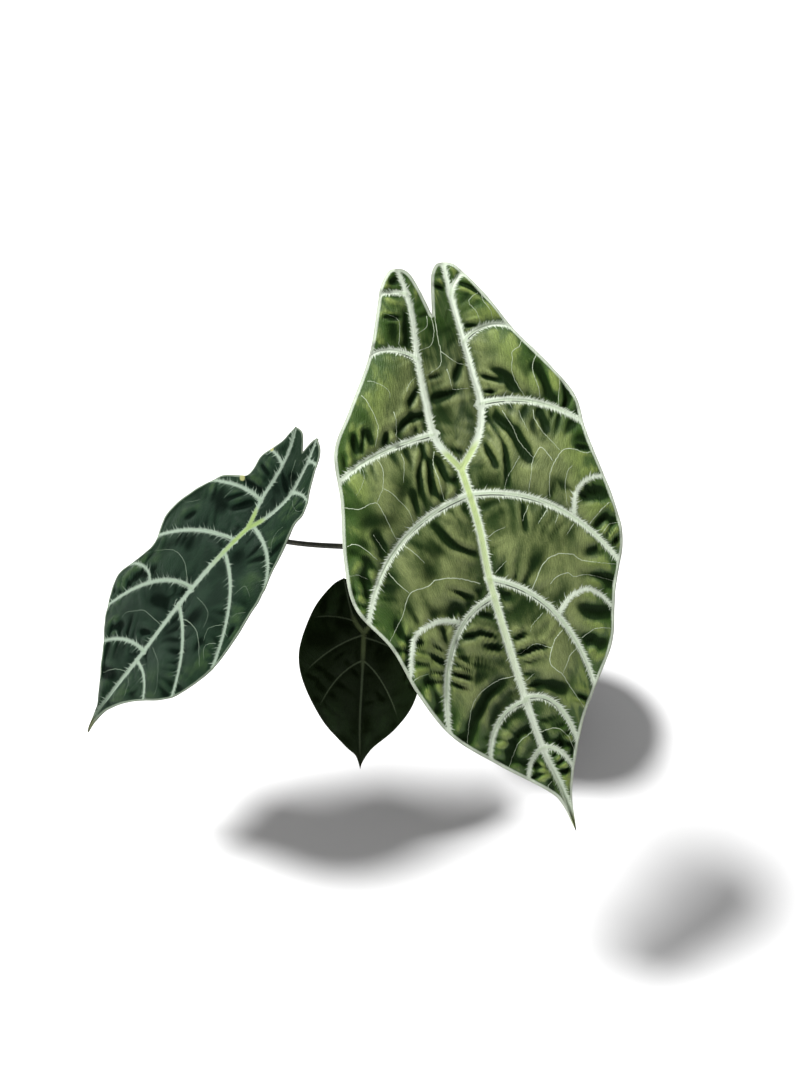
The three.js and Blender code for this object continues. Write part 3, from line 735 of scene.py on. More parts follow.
# Fine veins in the blade's plane: the points each passes through, and its width
LARGE["net"] = [
    ((10, 90), (10, 86), (9, 80), (5, 73), (-2, 72), 0.8), ((8, 90), (6, 84), (0, 82), 0.7),
    ((13, 92), (10, 76), (9, 68), (6, 60), (-3, 57), 0.9), ((9, 68), (15, 60), (20, 57), 0.8),
    ((9, 57), (9, 51), (9, 45), (18, 43), 0.7), ((-13, 78), (-9, 89), (-10, 94), (-16, 98), 0.5),
    ((-37, 63), (-32, 60), (-27, 54), (-28, 50), 0.6), ((-17, 51), (-14, 55), (-9, 58), 0.5),
    ((-43, 56), (-41, 52), (-39, 39), (-40, 34), (-44, 26), 0.8),
    ((40, 94), (36, 93), (33, 90), (35, 84), (36, 76), 0.6), ((30, 113), (26, 111), (26, 106), 0.5),
    ((55, 60), (52, 57), (47, 55), (46, 51), (44, 46), (44, 40), (47, 28), 0.7),
    ((61, 50), (57, 46), (55, 40), (55, 34), (55, 24), 1), ((70, 32), (68, 31), (63, 17), 0.7),
    ((42, 94), (41, 88), (43, 82), (43, 77), 0.5), ((-28, 42), (-28, 38), (-30, 30), (-33, 24), 0.8),
    ((-45, 20), (-44, 12), (-47, 3), (-50, -1), (-53, -5), 0.7),
    ((-72, -1), (-63, -5), (-57, -4), (-53, -5), (-51, -12), (-48, -29), 0.8),
    ((-47, 2), (-43, -2), (-40, -8), (-37, -14), (-36, -22), 0.6), ((-31, 18), (-31, 13), (-35, 2), 0.6),
    ((-12, 14), (-15, 7), (-15, -2), (-15, -15), 0.9),
    ((-76, -23), (-72, -23), (-68, -26), (-62, -35), 0.9), ((-45, -32), (-40, -39), (-37, -45), 0.7),
    ((-55, 18), (-55, 12), (-59, 6), (-63, 3), 0.4), ((-60, -21), (-56, -33), 0.5),
    ((32, 25), (35, 14), (36, 5), (40, -6), 0.7), ((41, 22), (41, 16), (42, 9), 0.5),
    ((49, 20), (48, 14), (50, 6), (54, -3), (56, -7), 0.8),
    ((74, -13), (69, -12), (65, -9), (60, -7), (56, -8), (51, -12), (46, -19), (43, -31), 1),
    ((50, -11), (46, -2), (40, -7), (36, -15), (32, -25), 0.8),
    ((33, -3), (28, -8), (23, -13), (19, -20), 0.5), ((60, -17), (56, -20), (53, -27), (51, -38), 0.5),
    ((61, -52), (68, -47), (74, -44), (78, -44), 0.9), ((66, -60), (71, -56), (77, -56), 0.6),
    ((30, -31), (27, -35), (24, -39), 0.7), ((39, -37), (32, -43), 0.8), ((45, -41), (41, -46), 0.6),
    ((52, -49), (46, -54), 0.6),
    ((17, -80), (26, -68), (31, -64), (35, -63), (39, -63), (46, -66), (51, -71), (70, -79), 0.9),
    ((1, -43), (8, -40), (14, -39), 0.5), ((-58, -44), (-55, -51), (-50, -59), 0.8),
    ((-9, -66), (-21, -59), (-33, -56), (-39, -58), (-50, -59), (-58, -70), (-69, -82), 1),
    ((-63, -108), (-58, -106), (-52, -106), 0.6),
    ((-5, -124), (-13, -123), (-20, -124), (-26, -126), (-32, -130), (-36, -137), (-42, -153), 0.9),
    ((-80, -39), (-75, -40), (-70, -44), 0.4),
    ((29, -78), (34, -75), (40, -75), (43, -78), (50, -79), (58, -83), (66, -88), 0.6),
    ((39, -114), (47, -111), (52, -112), (57, -114), 0.7),
    ((29, -106), (24, -109), (20, -114), (17, -123), (22, -131), (24, -137), (30, -155), 1),
    ((20, -114), (14, -110), (10, -109), (4, -112), (0, -112), 0.8),
    ((35, -119), (30, -121), (25, -127), (22, -131), 0.7), ((0, -129), (3, -128), (7, -126), 0.5),
    ((1, -63), (4, -61), (9, -58), 0.6), ((21, -93), (13, -98), (11, -102), 0.4),
    ((-2, -160), (-9, -161), (-14, -164), (-18, -170), (-23, -177), 0.6),
    ((3, -162), (7, -161), (12, -162), (16, -167), (18, -173), (19, -181), 0.8),
    ((1, -193), (-2, -195), (-2, -199), 0.8),
]

# Sharp folds in the blade's plane: the points along each, its half width, and its depth as a
# share of the blade's fold depth
LARGE["folds"] = [
    ((-4, 43), (4, 43), (14, 43), 2, 1), ((-3, 55), (5, 55), 1.3, 0.7),
    ((19, 59), (14, 53), (10, 46), 2, 0.8), ((-3, 94), (-5, 85), (-8, 74), 2.2, 0.8),
    ((-16, 96), (-8, 93), 1.1, 0.8), ((-9, 109), (-3, 104), 1.9, 0.7),
    ((-7, 53), (-15, 47), (-19, 40), 1.9, 0.8), ((-28, 82), (-26, 81), 1.6, 0.7),
    ((32, 104), (37, 99), (43, 91), 1.6, 0.7), ((27, 78), (35, 76), 1.4, 1),
    ((43, 91), (48, 82), (51, 73), 1.3, 0.9), ((34, 49), (40, 42), (46, 29), 2.5, 0.8),
    ((58, 43), (60, 33), (61, 23), 2.5, 1), ((71, 30), (70, 22), (67, 15), 1.9, 0.9),
    ((27, 48), (36, 41), 1.3, 0.9), ((25, 39), (32, 36), 1.1, 0.9), ((25, 34), (38, 31), 1.3, 1),
    ((-29, 31), (-21, 36), (-10, 36), 2.2, 1), ((-54, 35), (-55, 25), 1.9, 1),
    ((-48, 37), (-52, 25), 1.2, 0.9), ((-46, 36), (-46, 29), 1.6, 0.9), ((-34, 33), (-39, 26), 2, 0.9),
    ((-63, 26), (-64, 16), 1.6, 0.6), ((-17, 18), (-25, 2), (-27, -18), 1.5, 0.8),
    ((-16, 12), (-19, -5), (-16, -16), 1.9, 1), ((-12, 9), (-10, -2), (-6, -6), 1.9, 0.9),
    ((-31, -5), (-32, -18), 1.9, 0.7), ((-59, -22), (-56, -32), 2.2, 1),
    ((-25, -26), (-17, -41), (-5, -50), 1.9, 0.9), ((-3, 13), (4, 8), 1.6, 0.7),
    ((26, 24), (34, 12), (38, -7), 2.8, 1), ((23, 23), (27, 7), (25, -5), (22, -17), 1.3, 0.8),
    ((17, 11), (19, -4), 1.6, 1), ((53, 17), (52, 7), 1.8, 0.7),
    ((59, -39), (66, -35), (74, -38), 4.4, 1), ((64, -53), (71, -51), (76, -56), 3.4, 1),
    ((72, -66), (75, -64), 1.9, 0.8), ((66, -8), (73, -11), 1.3, 0.8), ((27, -30), (24, -44), 1.4, 0.7),
    ((54, -67), (63, -68), 3.2, 0.7), ((-68, -35), (-72, -43), (-73, -56), 2.8, 1),
    ((-78, -41), (-81, -55), 2.2, 0.9), ((-28, -63), (-16, -72), 1.5, 0.8),
    ((-55, -79), (-60, -90), (-63, -102), 1.5, 0.9), ((-55, -86), (-51, -87), 2.5, 0.8),
    ((-46, -90), (-40, -98), 1.6, 1), ((-38, -82), (-37, -91), 1.9, 0.9),
    ((-48, -96), (-42, -103), 1.6, 1), ((-29, -93), (-17, -93), 1.9, 1),
    ((-34, -102), (-28, -106), 1.4, 1), ((-36, -107), (-29, -112), 1.1, 0.8),
    ((-39, -111), (-31, -116), 1.4, 0.9), ((-41, -117), (-34, -121), 1.1, 0.7),
    ((-54, -107), (-52, -117), (-51, -127), 2.2, 0.7), ((0, -73), (5, -79), 2.2, 0.9),
    ((-14, -82), (-7, -87), 1.5, 0.9), ((-17, -93), (-8, -99), 1.4, 1), ((-16, -101), (-6, -106), 1.9, 1),
    ((0, -103), (8, -102), 1.9, 1), ((-1, -113), (11, -111), (18, -113), 1.7, 1),
    ((43, -96), (48, -101), (56, -103), 3.6, 1), ((50, -79), (58, -82), (67, -89), 2.8, 1),
    ((41, -115), (46, -119), (51, -122), 3.4, 1), ((5, -132), (14, -135), (21, -142), 3.4, 0.9),
    ((27, -145), (34, -151), 1.7, 1), ((-13, -125), (-25, -130), (-31, -138), 2.6, 0.9),
    ((-31, -134), (-36, -142), (-41, -151), 3.2, 0.9), ((-55, -127), (-53, -130), 2.5, 0.8),
    ((-45, -149), (-42, -152), 2.6, 0.7), ((-3, -157), (-11, -158), (-18, -165), (-22, -173), 2.9, 1),
    ((4, -167), (12, -171), (17, -176), 2.3, 1), ((-5, -179), (-8, -186), 2.6, 0.8),
    ((-13, -180), (-12, -185), 2, 0.8), ((-28, -168), (-27, -175), 2.3, 0.7),
    ((6, -186), (11, -192), 2, 0.8),
]


def smooth_line(points, steps=160):
    """A flowing line through the points, with the end points doubled."""
    points = np.array(points, float)
    place = np.linspace(0, len(points) - 1, steps + 1)
    i = np.minimum(place.astype(int), len(points) - 2)
    s = (place - i)[:, None]
    before, here = points[np.maximum(i - 1, 0)], points[i]
    there, after = points[i + 1], points[np.minimum(i + 2, len(points) - 1)]
    leave = (there - before) / 2
    arrive = (after - here) / 2
    cubic = (2 * here - 2 * there + leave + arrive) * s ** 3
    square = (3 * there - 3 * here - 2 * leave - arrive) * s ** 2
    return cubic + square + leave * s + here


def at_length(line, lengths):
    run = run_length(line)
    return np.stack([np.interp(lengths, run, line[:, 0]), np.interp(lengths, run, line[:, 1])], -1)


def length_near(line, spot):
    away = np.linalg.norm(line - np.array(spot, float), axis=1)
    return run_length(line)[away.argmin()]


def bent(ends, out):
    """A line bent over its middle point, at the given shares of its way."""
    start, corner, end = ends
    t = np.asarray(out)[:, None]
    return (1 - t) ** 2 * start + 2 * t * (1 - t) * corner + t * t * end


def half_frame(leaf, side):
    """The ribs, margin and side veins of one half, with where each vein starts and ends."""
    lobe = smooth_line(side["rib"])
    rib = np.vstack([lobe[::-1], smooth_line(leaf["midrib"])[1:]])
    margin = smooth_line(side["margin"])
    starts = [0] + [length_near(rib, vein[0]) for vein in side["veins"]] + [run_length(rib)[-1]]
    ends = [0] + [length_near(margin, vein[2]) for vein in side["veins"]]
    ends.append(run_length(margin)[-1])
    from_rib = at_length(rib, starts)
    to_margin = at_length(margin, ends)
    corners = (from_rib + to_margin) / 2
    corners[1:-1] = [vein[1] for vein in side["veins"]]
    veins = list(zip(from_rib, corners, to_margin))
    return {
        "rib": rib, "margin": margin, "starts": starts, "ends": ends, "veins": veins,
        "joint": run_length(lobe)[-1],
    }


def panel_spots(half, number, share, out):
    """Points of the panel after a vein: by share of the way to the next vein, and outward."""
    first, second = half["veins"][number:number + 2]
    u = share[:, None, None]
    v = out[None, :, None]
    starts = half["starts"]
    ends = half["ends"]
    on_rib = at_length(half["rib"], starts[number] + (starts[number + 1] - starts[number]) * share)
    on_margin = at_length(half["margin"], ends[number] + (ends[number + 1] - ends[number]) * share)
    spots = (1 - u) * bent(first, out)[None] + u * bent(second, out)[None]
    spots = spots + (1 - v) * on_rib[:, None] + v * on_margin[:, None]
    spots = spots - (1 - u) * ((1 - v) * first[0] + v * first[2])
    return spots - u * ((1 - v) * second[0] + v * second[2])


def crowded(steps, crowding):
    """Even shares from 0 to 1, drawn together toward both ends."""
    t = np.linspace(0, 1, steps + 1)
    return t - crowding * np.sin(2 * math.pi * t) / (2 * math.pi)


class Net:
    """The blade's plane net: spots with their values, and triangles between them."""

    def __init__(self):
        self.spots = []
        self.values = []
        self.triangles = []
        self.count = 0

    def sheet(self, spots, values, flip):
        """Adds a grid of spots; gives the numbers of its vertices."""
        columns, rows = spots.shape[:2]
        numbers = self.count + np.arange(columns * rows).reshape(columns, rows)
        self.count += columns * rows
        self.spots.append(spots.reshape(-1, 2))
        self.values.append(values.reshape(-1, values.shape[-1]))
        a, b = numbers[:-1, :-1], numbers[1:, :-1]
        c, d = numbers[1:, 1:], numbers[:-1, 1:]
        pairs = [(a, c, b), (a, d, c)] if flip else [(a, b, c), (a, c, d)]
        self.triangles += [np.stack(corners, -1).reshape(-1, 3) for corners in pairs]
        return numbers

    def strip(self, near, near_run, far, far_run, flip):
        """Joins two lines of vertices with unlike stations."""
        i = j = 0
        made = []
        while i + 1 < len(near) or j + 1 < len(far):
            next_near = near_run[i + 1] if i + 1 < len(near) else math.inf
            next_far = far_run[j + 1] if j + 1 < len(far) else math.inf
            if next_near <= next_far:
                made.append((near[i], near[i + 1], far[j]))
                i += 1
            else:
                made.append((near[i], far[j + 1], far[j]))
                j += 1
        made = np.array(made)
        self.triangles.append(made[:, ::-1] if flip else made)

    def welded(self):
        """Spots without twins, their values, and the triangles that keep three corners."""
        spots = np.vstack(self.spots)
        values = np.vstack(self.values)
        _, first, same = np.unique(
            np.round(spots, 3), axis=0, return_index=True, return_inverse=True
        )
        triangles = same.reshape(-1)[np.vstack(self.triangles)]
        a, b, c = triangles.T
        return spots[first], values[first], triangles[(a != b) & (b != c) & (c != a)]


def add_half(net, leaf, side, flip):
    half = half_frame(leaf, side)
    lobe_count = round(half["joint"] / RIB_STATION)
    tip_length = half["starts"][-1] - half["joint"]
    tip_count = round(tip_length / RIB_STATION)
    stations = np.concatenate([
        np.linspace(0, half["joint"], lobe_count + 1),
        half["joint"] + np.linspace(0, tip_length, tip_count + 1)[1:],
    ])
    rib_spots = at_length(half["rib"], stations)
    out = crowded(leaf["rows"], 0.1)[1:]
    far = []
    far_run = []
    for number in range(len(half["starts"]) - 1):
        rib_width = half["starts"][number + 1] - half["starts"][number]
        margin_width = half["ends"][number + 1] - half["ends"][number]
        columns = max(8, round((rib_width + margin_width) / 2 / leaf["cell"]))
        share = crowded(columns, 0.6)
        spots = panel_spots(half, number, share, out)
        quilt = leaf["quilt"] * min(1, margin_width / FULL_QUILT_WIDTH)
        u = share[:, None]
        swell = np.sin(math.pi * out) + MARGIN_LIFT * out ** 2
        rise = quilt * (4 * u * (1 - u)) ** QUILT_FULLNESS * swell[None]
        reach = np.linalg.norm(half["veins"][number][2] - half["veins"][number][0])
        next_reach = np.linalg.norm(half["veins"][number + 1][2] - half["veins"][number + 1][0])
        grain_out = ((1 - u) * reach + u * next_reach) * out[None]
        grain_across = half["starts"][number] + rib_width * u
        grain_across = grain_across + (margin_width - rib_width) * u * out[None]
        grain_across = grain_across + (half["ends"][number] - half["starts"][number]) * out[None]
        values = np.stack(np.broadcast_arrays(rise, grain_out, grain_across), -1)
        numbers = net.sheet(spots, values, flip)
        skip = 1 if number else 0
        far += numbers[skip:, 0].tolist()
        far_run += (half["starts"][number] + rib_width * share[skip:]).tolist()

    lobe = stations[:lobe_count + 1]
    shares = np.linspace(0, 1, leaf["lobe_rows"] + 1)
    inner = smooth_line(side["inner"])
    on_inner = at_length(inner, run_length(inner)[-1] * lobe / half["joint"])
    v = shares[None, :, None]
    spots = rib_spots[:lobe_count + 1, None] * (1 - v) + on_inner[:, None] * v
    width = np.linalg.norm(on_inner - rib_spots[:lobe_count + 1], axis=1)[:, None]
    rise = np.sin(math.pi * shares)[None] * (lobe / half["joint"])[:, None]
    values = np.stack(
        np.broadcast_arrays(rise, shares[None] * width, lobe[:, None] + 0 * shares[None]), -1
    )
    lobe_numbers = net.sheet(spots, values, not flip)[:, 0]
    tip_spots = rib_spots[lobe_count:, None]
    tip_values = np.zeros((len(tip_spots), 1, 3))
    tip_values[:, 0, 2] = stations[lobe_count:]
    tip_numbers = net.sheet(tip_spots, tip_values, flip)[:, 0]
    near = np.concatenate([lobe_numbers, tip_numbers[1:]])
    net.strip(near, stations, far, far_run, flip)
    return half


def beside(line, spots, reach=math.inf):
    """How far each spot lies from a line, on its left (+) or right, and how far along it."""
    low = line.min(axis=0) - reach
    high = line.max(axis=0) + reach
    near = np.flatnonzero(((spots >= low) & (spots <= high)).all(axis=1))
    gap = np.full(len(spots), min(reach, 1e3), float)
    along = np.zeros(len(spots))
    edges = np.diff(line, axis=0)
    size = np.maximum((edges ** 2).sum(axis=1), 1e-12)
    run = run_length(line)
    for some in np.array_split(near, len(near) // 4000 + 1):
        if not len(some):
            continue
        from_start = spots[some, None] - line[None, :-1]
        share = np.clip((from_start * edges).sum(axis=2) / size, 0, 1)
        off = from_start - share[..., None] * edges
        away = np.hypot(off[..., 0], off[..., 1])
        best = away.argmin(axis=1)
        pick = np.arange(len(some))
        side = edges[best, 0] * off[pick, best, 1] - edges[best, 1] * off[pick, best, 0]
        gap[some] = away[pick, best] * np.where(side < 0, -1, 1)
        along[some] = run[best] + share[pick, best] * np.sqrt(size[best])
    return gap, along


def nearest_of(lines, spots):
    """Over lines with half widths: the signed gap, run, half width and share of the nearest."""
    gap = np.full(len(spots), 1e3)
    run, half, share = np.zeros((3, len(spots)))
    for line, width_at in lines:
        this_gap, this_run = beside(line, spots)
        this_share = this_run / run_length(line)[-1]
        this_half = width_at(this_share)
        closer = np.abs(this_gap) - this_half < np.abs(gap) - half
        gap[closer] = this_gap[closer]
        run[closer] = this_run[closer]
        half[closer] = this_half[closer]
        share[closer] = this_share[closer]
    return gap, run, half, share


def pleats(run, gap, spacing, fade, seed):
    """Narrow puckers that leave a vein squarely and fade out, strong along some stretches."""
    sway = 3.6 * rough_field(run, 0.6 * gap + 90, 10, seed)
    strength = np.clip(0.5 + 1.1 * rough_field(run + 500, gap * 0.4 + 90, 12, seed + 1), 0, 1)
    wave = np.sin(2 * math.pi * run / spacing + sway)
    crisp = wave - 0.35 * wave ** 2 + 0.17
    return strength * crisp * np.exp(-(np.abs(gap) / fade) ** 1.5)


def side_vein_lines(leaf, halves):
    """The side veins and their branches: which way each turns, its line and its half width."""
    made = []
    for half, turn in zip(halves, (1, -1)):
        for vein in half["veins"][1:-1]:
            line = bent(vein, np.linspace(0, 1, 25))
            full = leaf["vein_half"] * (0.42 + 0.58 * min(1, run_length(line)[-1] / 60))
            flare = 4 / run_length(line)[-1]
            made.append((turn, line, lambda share, full=full, flare=flare: full * (
                1 - 0.48 * share + 0.35 * np.exp(-share / flare)
            )))
    for *points, wide in leaf["branches"]:
        line = smooth_line(points, 8 * len(points))
        made.append((1, line, lambda share, wide=wide: wide / 2 * (1.1 - 0.4 * share)))
    return made


def fold_field(folds, spots):
    """Sharp folds between low shoulders: below 0 in a fold, a little above it beside one."""
    fold = np.zeros(len(spots))
    for *points, wide, depth in folds:
        line = smooth_line(points, 10)
        gap, run = beside(line, spots, 5 * wide)
        taper = np.sin(math.pi * np.clip(0.06 + 0.88 * run / run_length(line)[-1], 0, 1)) ** 0.6
        shoulder = np.exp(-((np.abs(gap) - 2.1 * wide) / wide) ** 2)
        fold = fold + depth * taper * (0.45 * shoulder - np.exp(-np.abs(gap / wide) ** 1.6))
    return np.clip(fold, -1.2, 0.8)


def relief_on(leaf, spots, rib, vein, edge_gap, tip_gap):
    """How far puckers and folds lift the lamina; none over the veins and at the edge."""
    x, y = spots.T
    rib_gap, rib_run, rib_half = rib
    vein_gap, vein_run, vein_half = vein
    clear_of_vein = np.clip((np.abs(vein_gap) - vein_half) / RELIEF_CLEARANCE, 0, 1)
    clear_of_rib = np.clip((np.abs(rib_gap) - rib_half) / RELIEF_CLEARANCE, 0, 1)
    free = clear_of_vein * clear_of_rib * np.clip(edge_gap / RELIEF_CLEARANCE, 0, 1)
    from_joint = np.hypot(x, y)
    low = np.clip(-2.4 * y / abs(leaf["midrib"][-1][1]) - 0.4, 0, 1)
    busy = np.exp(-(from_joint / BUSY_BY_JOINT) ** 2)
    busy = busy + 0.9 * np.exp(-(edge_gap / BUSY_BY_EDGE) ** 2)
    busy = np.clip(0.3 + busy + 1.1 * low, 0, 1.6) * leaf["busy"]
    busy = busy * np.clip(tip_gap / CALM_BY_TIP, 0.25, 1)
    near_joint = 1 - 0.7 * np.exp(-(from_joint / 30) ** 2)
    puckers = pleats(vein_run, vein_gap, leaf["pleat_spacing"], PLEAT_FADE, 21)
    rib_pleats = pleats(rib_run + 40, rib_gap, leaf["pleat_spacing"], RIB_PLEAT_FADE, 41)
    puckers = puckers + 0.75 * near_joint * rib_pleats
    puckers = busy * puckers + 0.7 * rough_field(x + 300, y + 400, 12, 23)
    fold = fold_field(leaf["folds"], spots)
    return free * (leaf["ripple"] * puckers + leaf["fold_depth"] * fold)


def band(gap, half):
    """Rises from 0 at half a width away to 1 in the middle of a line."""
    return np.clip(1 - (gap / np.maximum(half, 0.1)) ** 2, 0, 1)


def closed_sheet(name, triangles, top, under):
    """One closed mesh from the places of the upper and the lower face, joined round the edge."""
    count = len(top)
    bonds = np.vstack([triangles[:, [0, 1]], triangles[:, [1, 2]], triangles[:, [2, 0]]])
    codes = bonds[:, 0] * count + bonds[:, 1]
    start, end = bonds[~np.isin(bonds[:, 1] * count + bonds[:, 0], codes)].T
    faces = np.vstack([
        triangles,
        triangles[:, ::-1] + count,
        np.stack([start, start + count, end + count], 1),
        np.stack([start, end + count, end], 1),
    ])
    return mesh_from(name, np.vstack([top, under]), faces.tolist())


def blade_mesh(name, leaf, joint, axes):
    """The blade as one closed sheet whose vertices know the veins, folds and edges near them."""
    net = Net()
    halves = [add_half(net, leaf, leaf[side], side == "left") for side in ("left", "right")]
    spots, values, triangles = net.welded()
    rise, grain_out, grain_across = values.T
    x, y = spots.T
    midrib = smooth_line(leaf["midrib"])
    lobe_ribs = [smooth_line(leaf[side]["rib"]) for side in ("left", "right")]
    tip_reach = abs(leaf["midrib"][-1][1])
    tip_gap = np.hypot(*(spots - midrib[-1]).T)

    thick = leaf["rib_half"]
    ribs = [(midrib, lambda share: thick * (1 - 0.45 * share))]
    ribs += [(rib, lambda share: thick * (0.8 - 0.45 * share)) for rib in lobe_ribs]
    rib_gap, rib_run, rib_half, _ = nearest_of(ribs, spots)

    side_veins = side_vein_lines(leaf, halves)
    sets = [nearest_of([(line, width)], spots) for turn, line, width in side_veins]
    best = np.array([np.abs(found[0]) - found[2] for found in sets]).argmin(axis=0)
    vein_gap, vein_run, vein_half, vein_share = np.array(sets)[best, :, np.arange(len(spots))].T
    vein_gap = vein_gap * np.array([turn for turn, _, _ in side_veins])[best]
    vein_run = vein_run + VEIN_STRIDE * best

    edges = [half["margin"] for half in halves]
    edges += [smooth_line(leaf[side]["inner"]) for side in ("left", "right")]
    edge_gap = np.min([np.abs(beside(line, spots)[0]) for line in edges], axis=0)
    nick = np.zeros(len(spots))
    for place, wide in leaf.get("nicks", []):
        away = np.hypot(x - place[0], y - place[1])
        nick = np.maximum(nick, np.exp(-(away / wide) ** 2))

    gaps = np.array([beside(line, spots)[0] for line in (midrib, *lobe_ribs)])
    from_rib = -GUTTER_ROUND * np.log(np.exp(-np.abs(gaps) / GUTTER_ROUND).sum(axis=0))
    slope, radius = leaf["gutter"]
    arch = np.where(y < 0, *leaf["arch"])
    height = slope * from_rib - from_rib ** 2 / (2 * radius) - y ** 2 / (2 * arch) + rise
    rib = (rib_gap, rib_run, rib_half)
    vein = (vein_gap, vein_run, vein_half)
    relief = relief_on(leaf, spots, rib, vein, edge_gap, tip_gap)
    edge_wave = rough_field(x + 300, y + 400, 7, 24) * np.exp(-edge_gap / 5)
    height = height + relief + 0.5 * edge_wave

    top = height + 0.35 * band(vein_gap, vein_half) + 0.3 * band(rib_gap, rib_half)
    top = top + 0.2 * band(edge_gap, 1.6)
    along = np.clip(rib_run / tip_reach, 0, 1)
    ridge = MIDRIB_RIDGE * np.maximum(TIP_RIDGE_SHARE, 1 - (1 - TIP_RIDGE_SHARE) * along)
    ridge = ridge * np.sqrt(band(rib_gap, rib_half + 0.4))
    ridge = np.maximum(ridge, VEIN_RIDGE * (1 - vein_share) * np.sqrt(band(vein_gap, vein_half)))
    sheet = LAMINA - (LAMINA - MARGIN_THICKNESS) * np.exp(-edge_gap / 1.5)
    under = height - sheet - ridge

    across, lobes, upper = axes
    plane = np.array(joint) + x[:, None] * across + y[:, None] * lobes
    mesh = closed_sheet(
        name, triangles, plane + top[:, None] * upper, plane + under[:, None] * upper
    )
    measures = {
        "rib_gap": rib_gap, "rib_reach": np.abs(rib_gap), "rib_half": rib_half,
        "rib_run": rib_run, "vein_gap": vein_gap, "vein_reach": np.abs(vein_gap),
        "vein_half": vein_half, "vein_run": vein_run, "vein_share": vein_share,
        "edge_gap": edge_gap, "joint_gap": np.hypot(x, y), "tip_gap": tip_gap,
        "lobe": np.clip((y - 4) / 12, 0, 1), "nick": nick, "swell": rise / leaf["quilt"],
        "crest": np.clip(0.5 + 0.4 * relief / leaf["ripple"], 0, 1),
        "grain_out": grain_out, "grain_across": grain_across,
    }
    measures = {label: np.tile(value, 2) for label, value in measures.items()}
    measures["back"] = np.repeat([0.0, 1.0], len(spots))
    for label, value in measures.items():
        mesh.attributes.new(label, "FLOAT", "POINT").data.foreach_set("value", value)
    return mesh


def read(tree, name):
    return add(tree, "ShaderNodeAttribute", attribute_name=name)["Fac"]


def away_from(tree, kind):
    """Distance from the middle of the nearest vein of a kind, exact close to it."""
    close = maths(tree, "ABSOLUTE", read(tree, f"{kind}_gap"))
    far = maths(tree, "SUBTRACT", read(tree, f"{kind}_reach"), CELL_SLACK)
    return maths(tree, "MAXIMUM", close, far)


# Silver bands along the veins, frayed into short dense teeth and a few long barbs
feather, feather_in, feather_out = new_group(
    "vein_feather",
    "ShaderNodeTree",
    [
        ("Away", "NodeSocketFloat", 0),
        ("Gap", "NodeSocketFloat", 0),
        ("Run", "NodeSocketFloat", 0),
        ("Half Width", "NodeSocketFloat", 1),
        ("Teeth", "NodeSocketFloat", 1),
        ("Barbs", "NodeSocketFloat", 3),
    ],
    [("Mask", "NodeSocketFloat")],
)


def fray(run, scale):
    feeds = {"W": run, "Scale": scale, "Detail": 2.0}
    return add(feather, "ShaderNodeTexNoise", feeds, noise_dimensions="1D")["Fac"]


feather_away = feather_in["Away"]
feather_slant = product(feather, feather_away, 0.55)
feather_side = product(feather, maths(feather, "SIGN", feather_in["Gap"]), 31.0)
feather_run = maths(feather, "SUBTRACT", feather_in["Run"], feather_slant)
feather_run = maths(feather, "ADD", feather_run, feather_side)
feather_teeth = ramp(feather, fray(feather_run, 1.7), 0.36, 0.70)
feather_barbs = ramp(feather, fray(maths(feather, "ADD", feather_run, 431.0), 0.75), 0.56, 0.80)
feather_edge = maths(
    feather,
    "ADD",
    product(feather, feather_teeth, feather_in["Teeth"]),
    product(feather, feather_barbs, feather_in["Barbs"]),
)
feather_edge = maths(feather, "ADD", feather_edge, feather_in["Half Width"])
feather_over = maths(feather, "SUBTRACT", feather_away, feather_edge)
feather_fade = maths(feather, "SUBTRACT", feather_away, feather_in["Half Width"])
feather_fade = ramp(feather, feather_fade, 3.2, 0.2, 0.35, 1.0)
feather_mask = product(feather, ramp(feather, feather_over, 0.4, -0.4), feather_fade)
feather.links.new(feather_mask, feather_out["Mask"])


def feathered(tree, kind, teeth, barbs):
    feeds = {
        "Away": away_from(tree, kind),
        "Gap": read(tree, f"{kind}_gap"),
        "Run": read(tree, f"{kind}_run"),
        "Half Width": product(tree, read(tree, f"{kind}_half"), 0.74),
        "Teeth": teeth,
        "Barbs": barbs,
    }
    return add(tree, "ShaderNodeGroup", feeds, node_tree=feather)["Mask"]


# The lamina's fine brushed grain, which runs from vein to vein, and its coarser blotches
grain, _, grain_outlets = new_group(
    "lamina_grain",
    "ShaderNodeTree",
    [],
    [("Brushed", "NodeSocketFloat"), ("Blotch", "NodeSocketFloat"), ("Fine", "NodeSocketFloat")],
)


def grain_noise(along, over, detail):
    place = {
        "X": product(grain, read(grain, "grain_across"), along),
        "Y": product(grain, read(grain, "grain_out"), over),
    }
    place = add(grain, "ShaderNodeCombineXYZ", place)["Vector"]
    feeds = {"Vector": place, "Scale": 1.0, "Detail": detail}
    return add(grain, "ShaderNodeTexNoise", feeds)["Fac"]


grain.links.new(ramp(grain, grain_noise(0.24, 1.3, 3), 0.34, 0.68), grain_outlets["Brushed"])
grain.links.new(ramp(grain, grain_noise(0.07, 0.11, 3), 0.36, 0.66), grain_outlets["Blotch"])
grain.links.new(grain_noise(1.7, 2.9, 2), grain_outlets["Fine"])


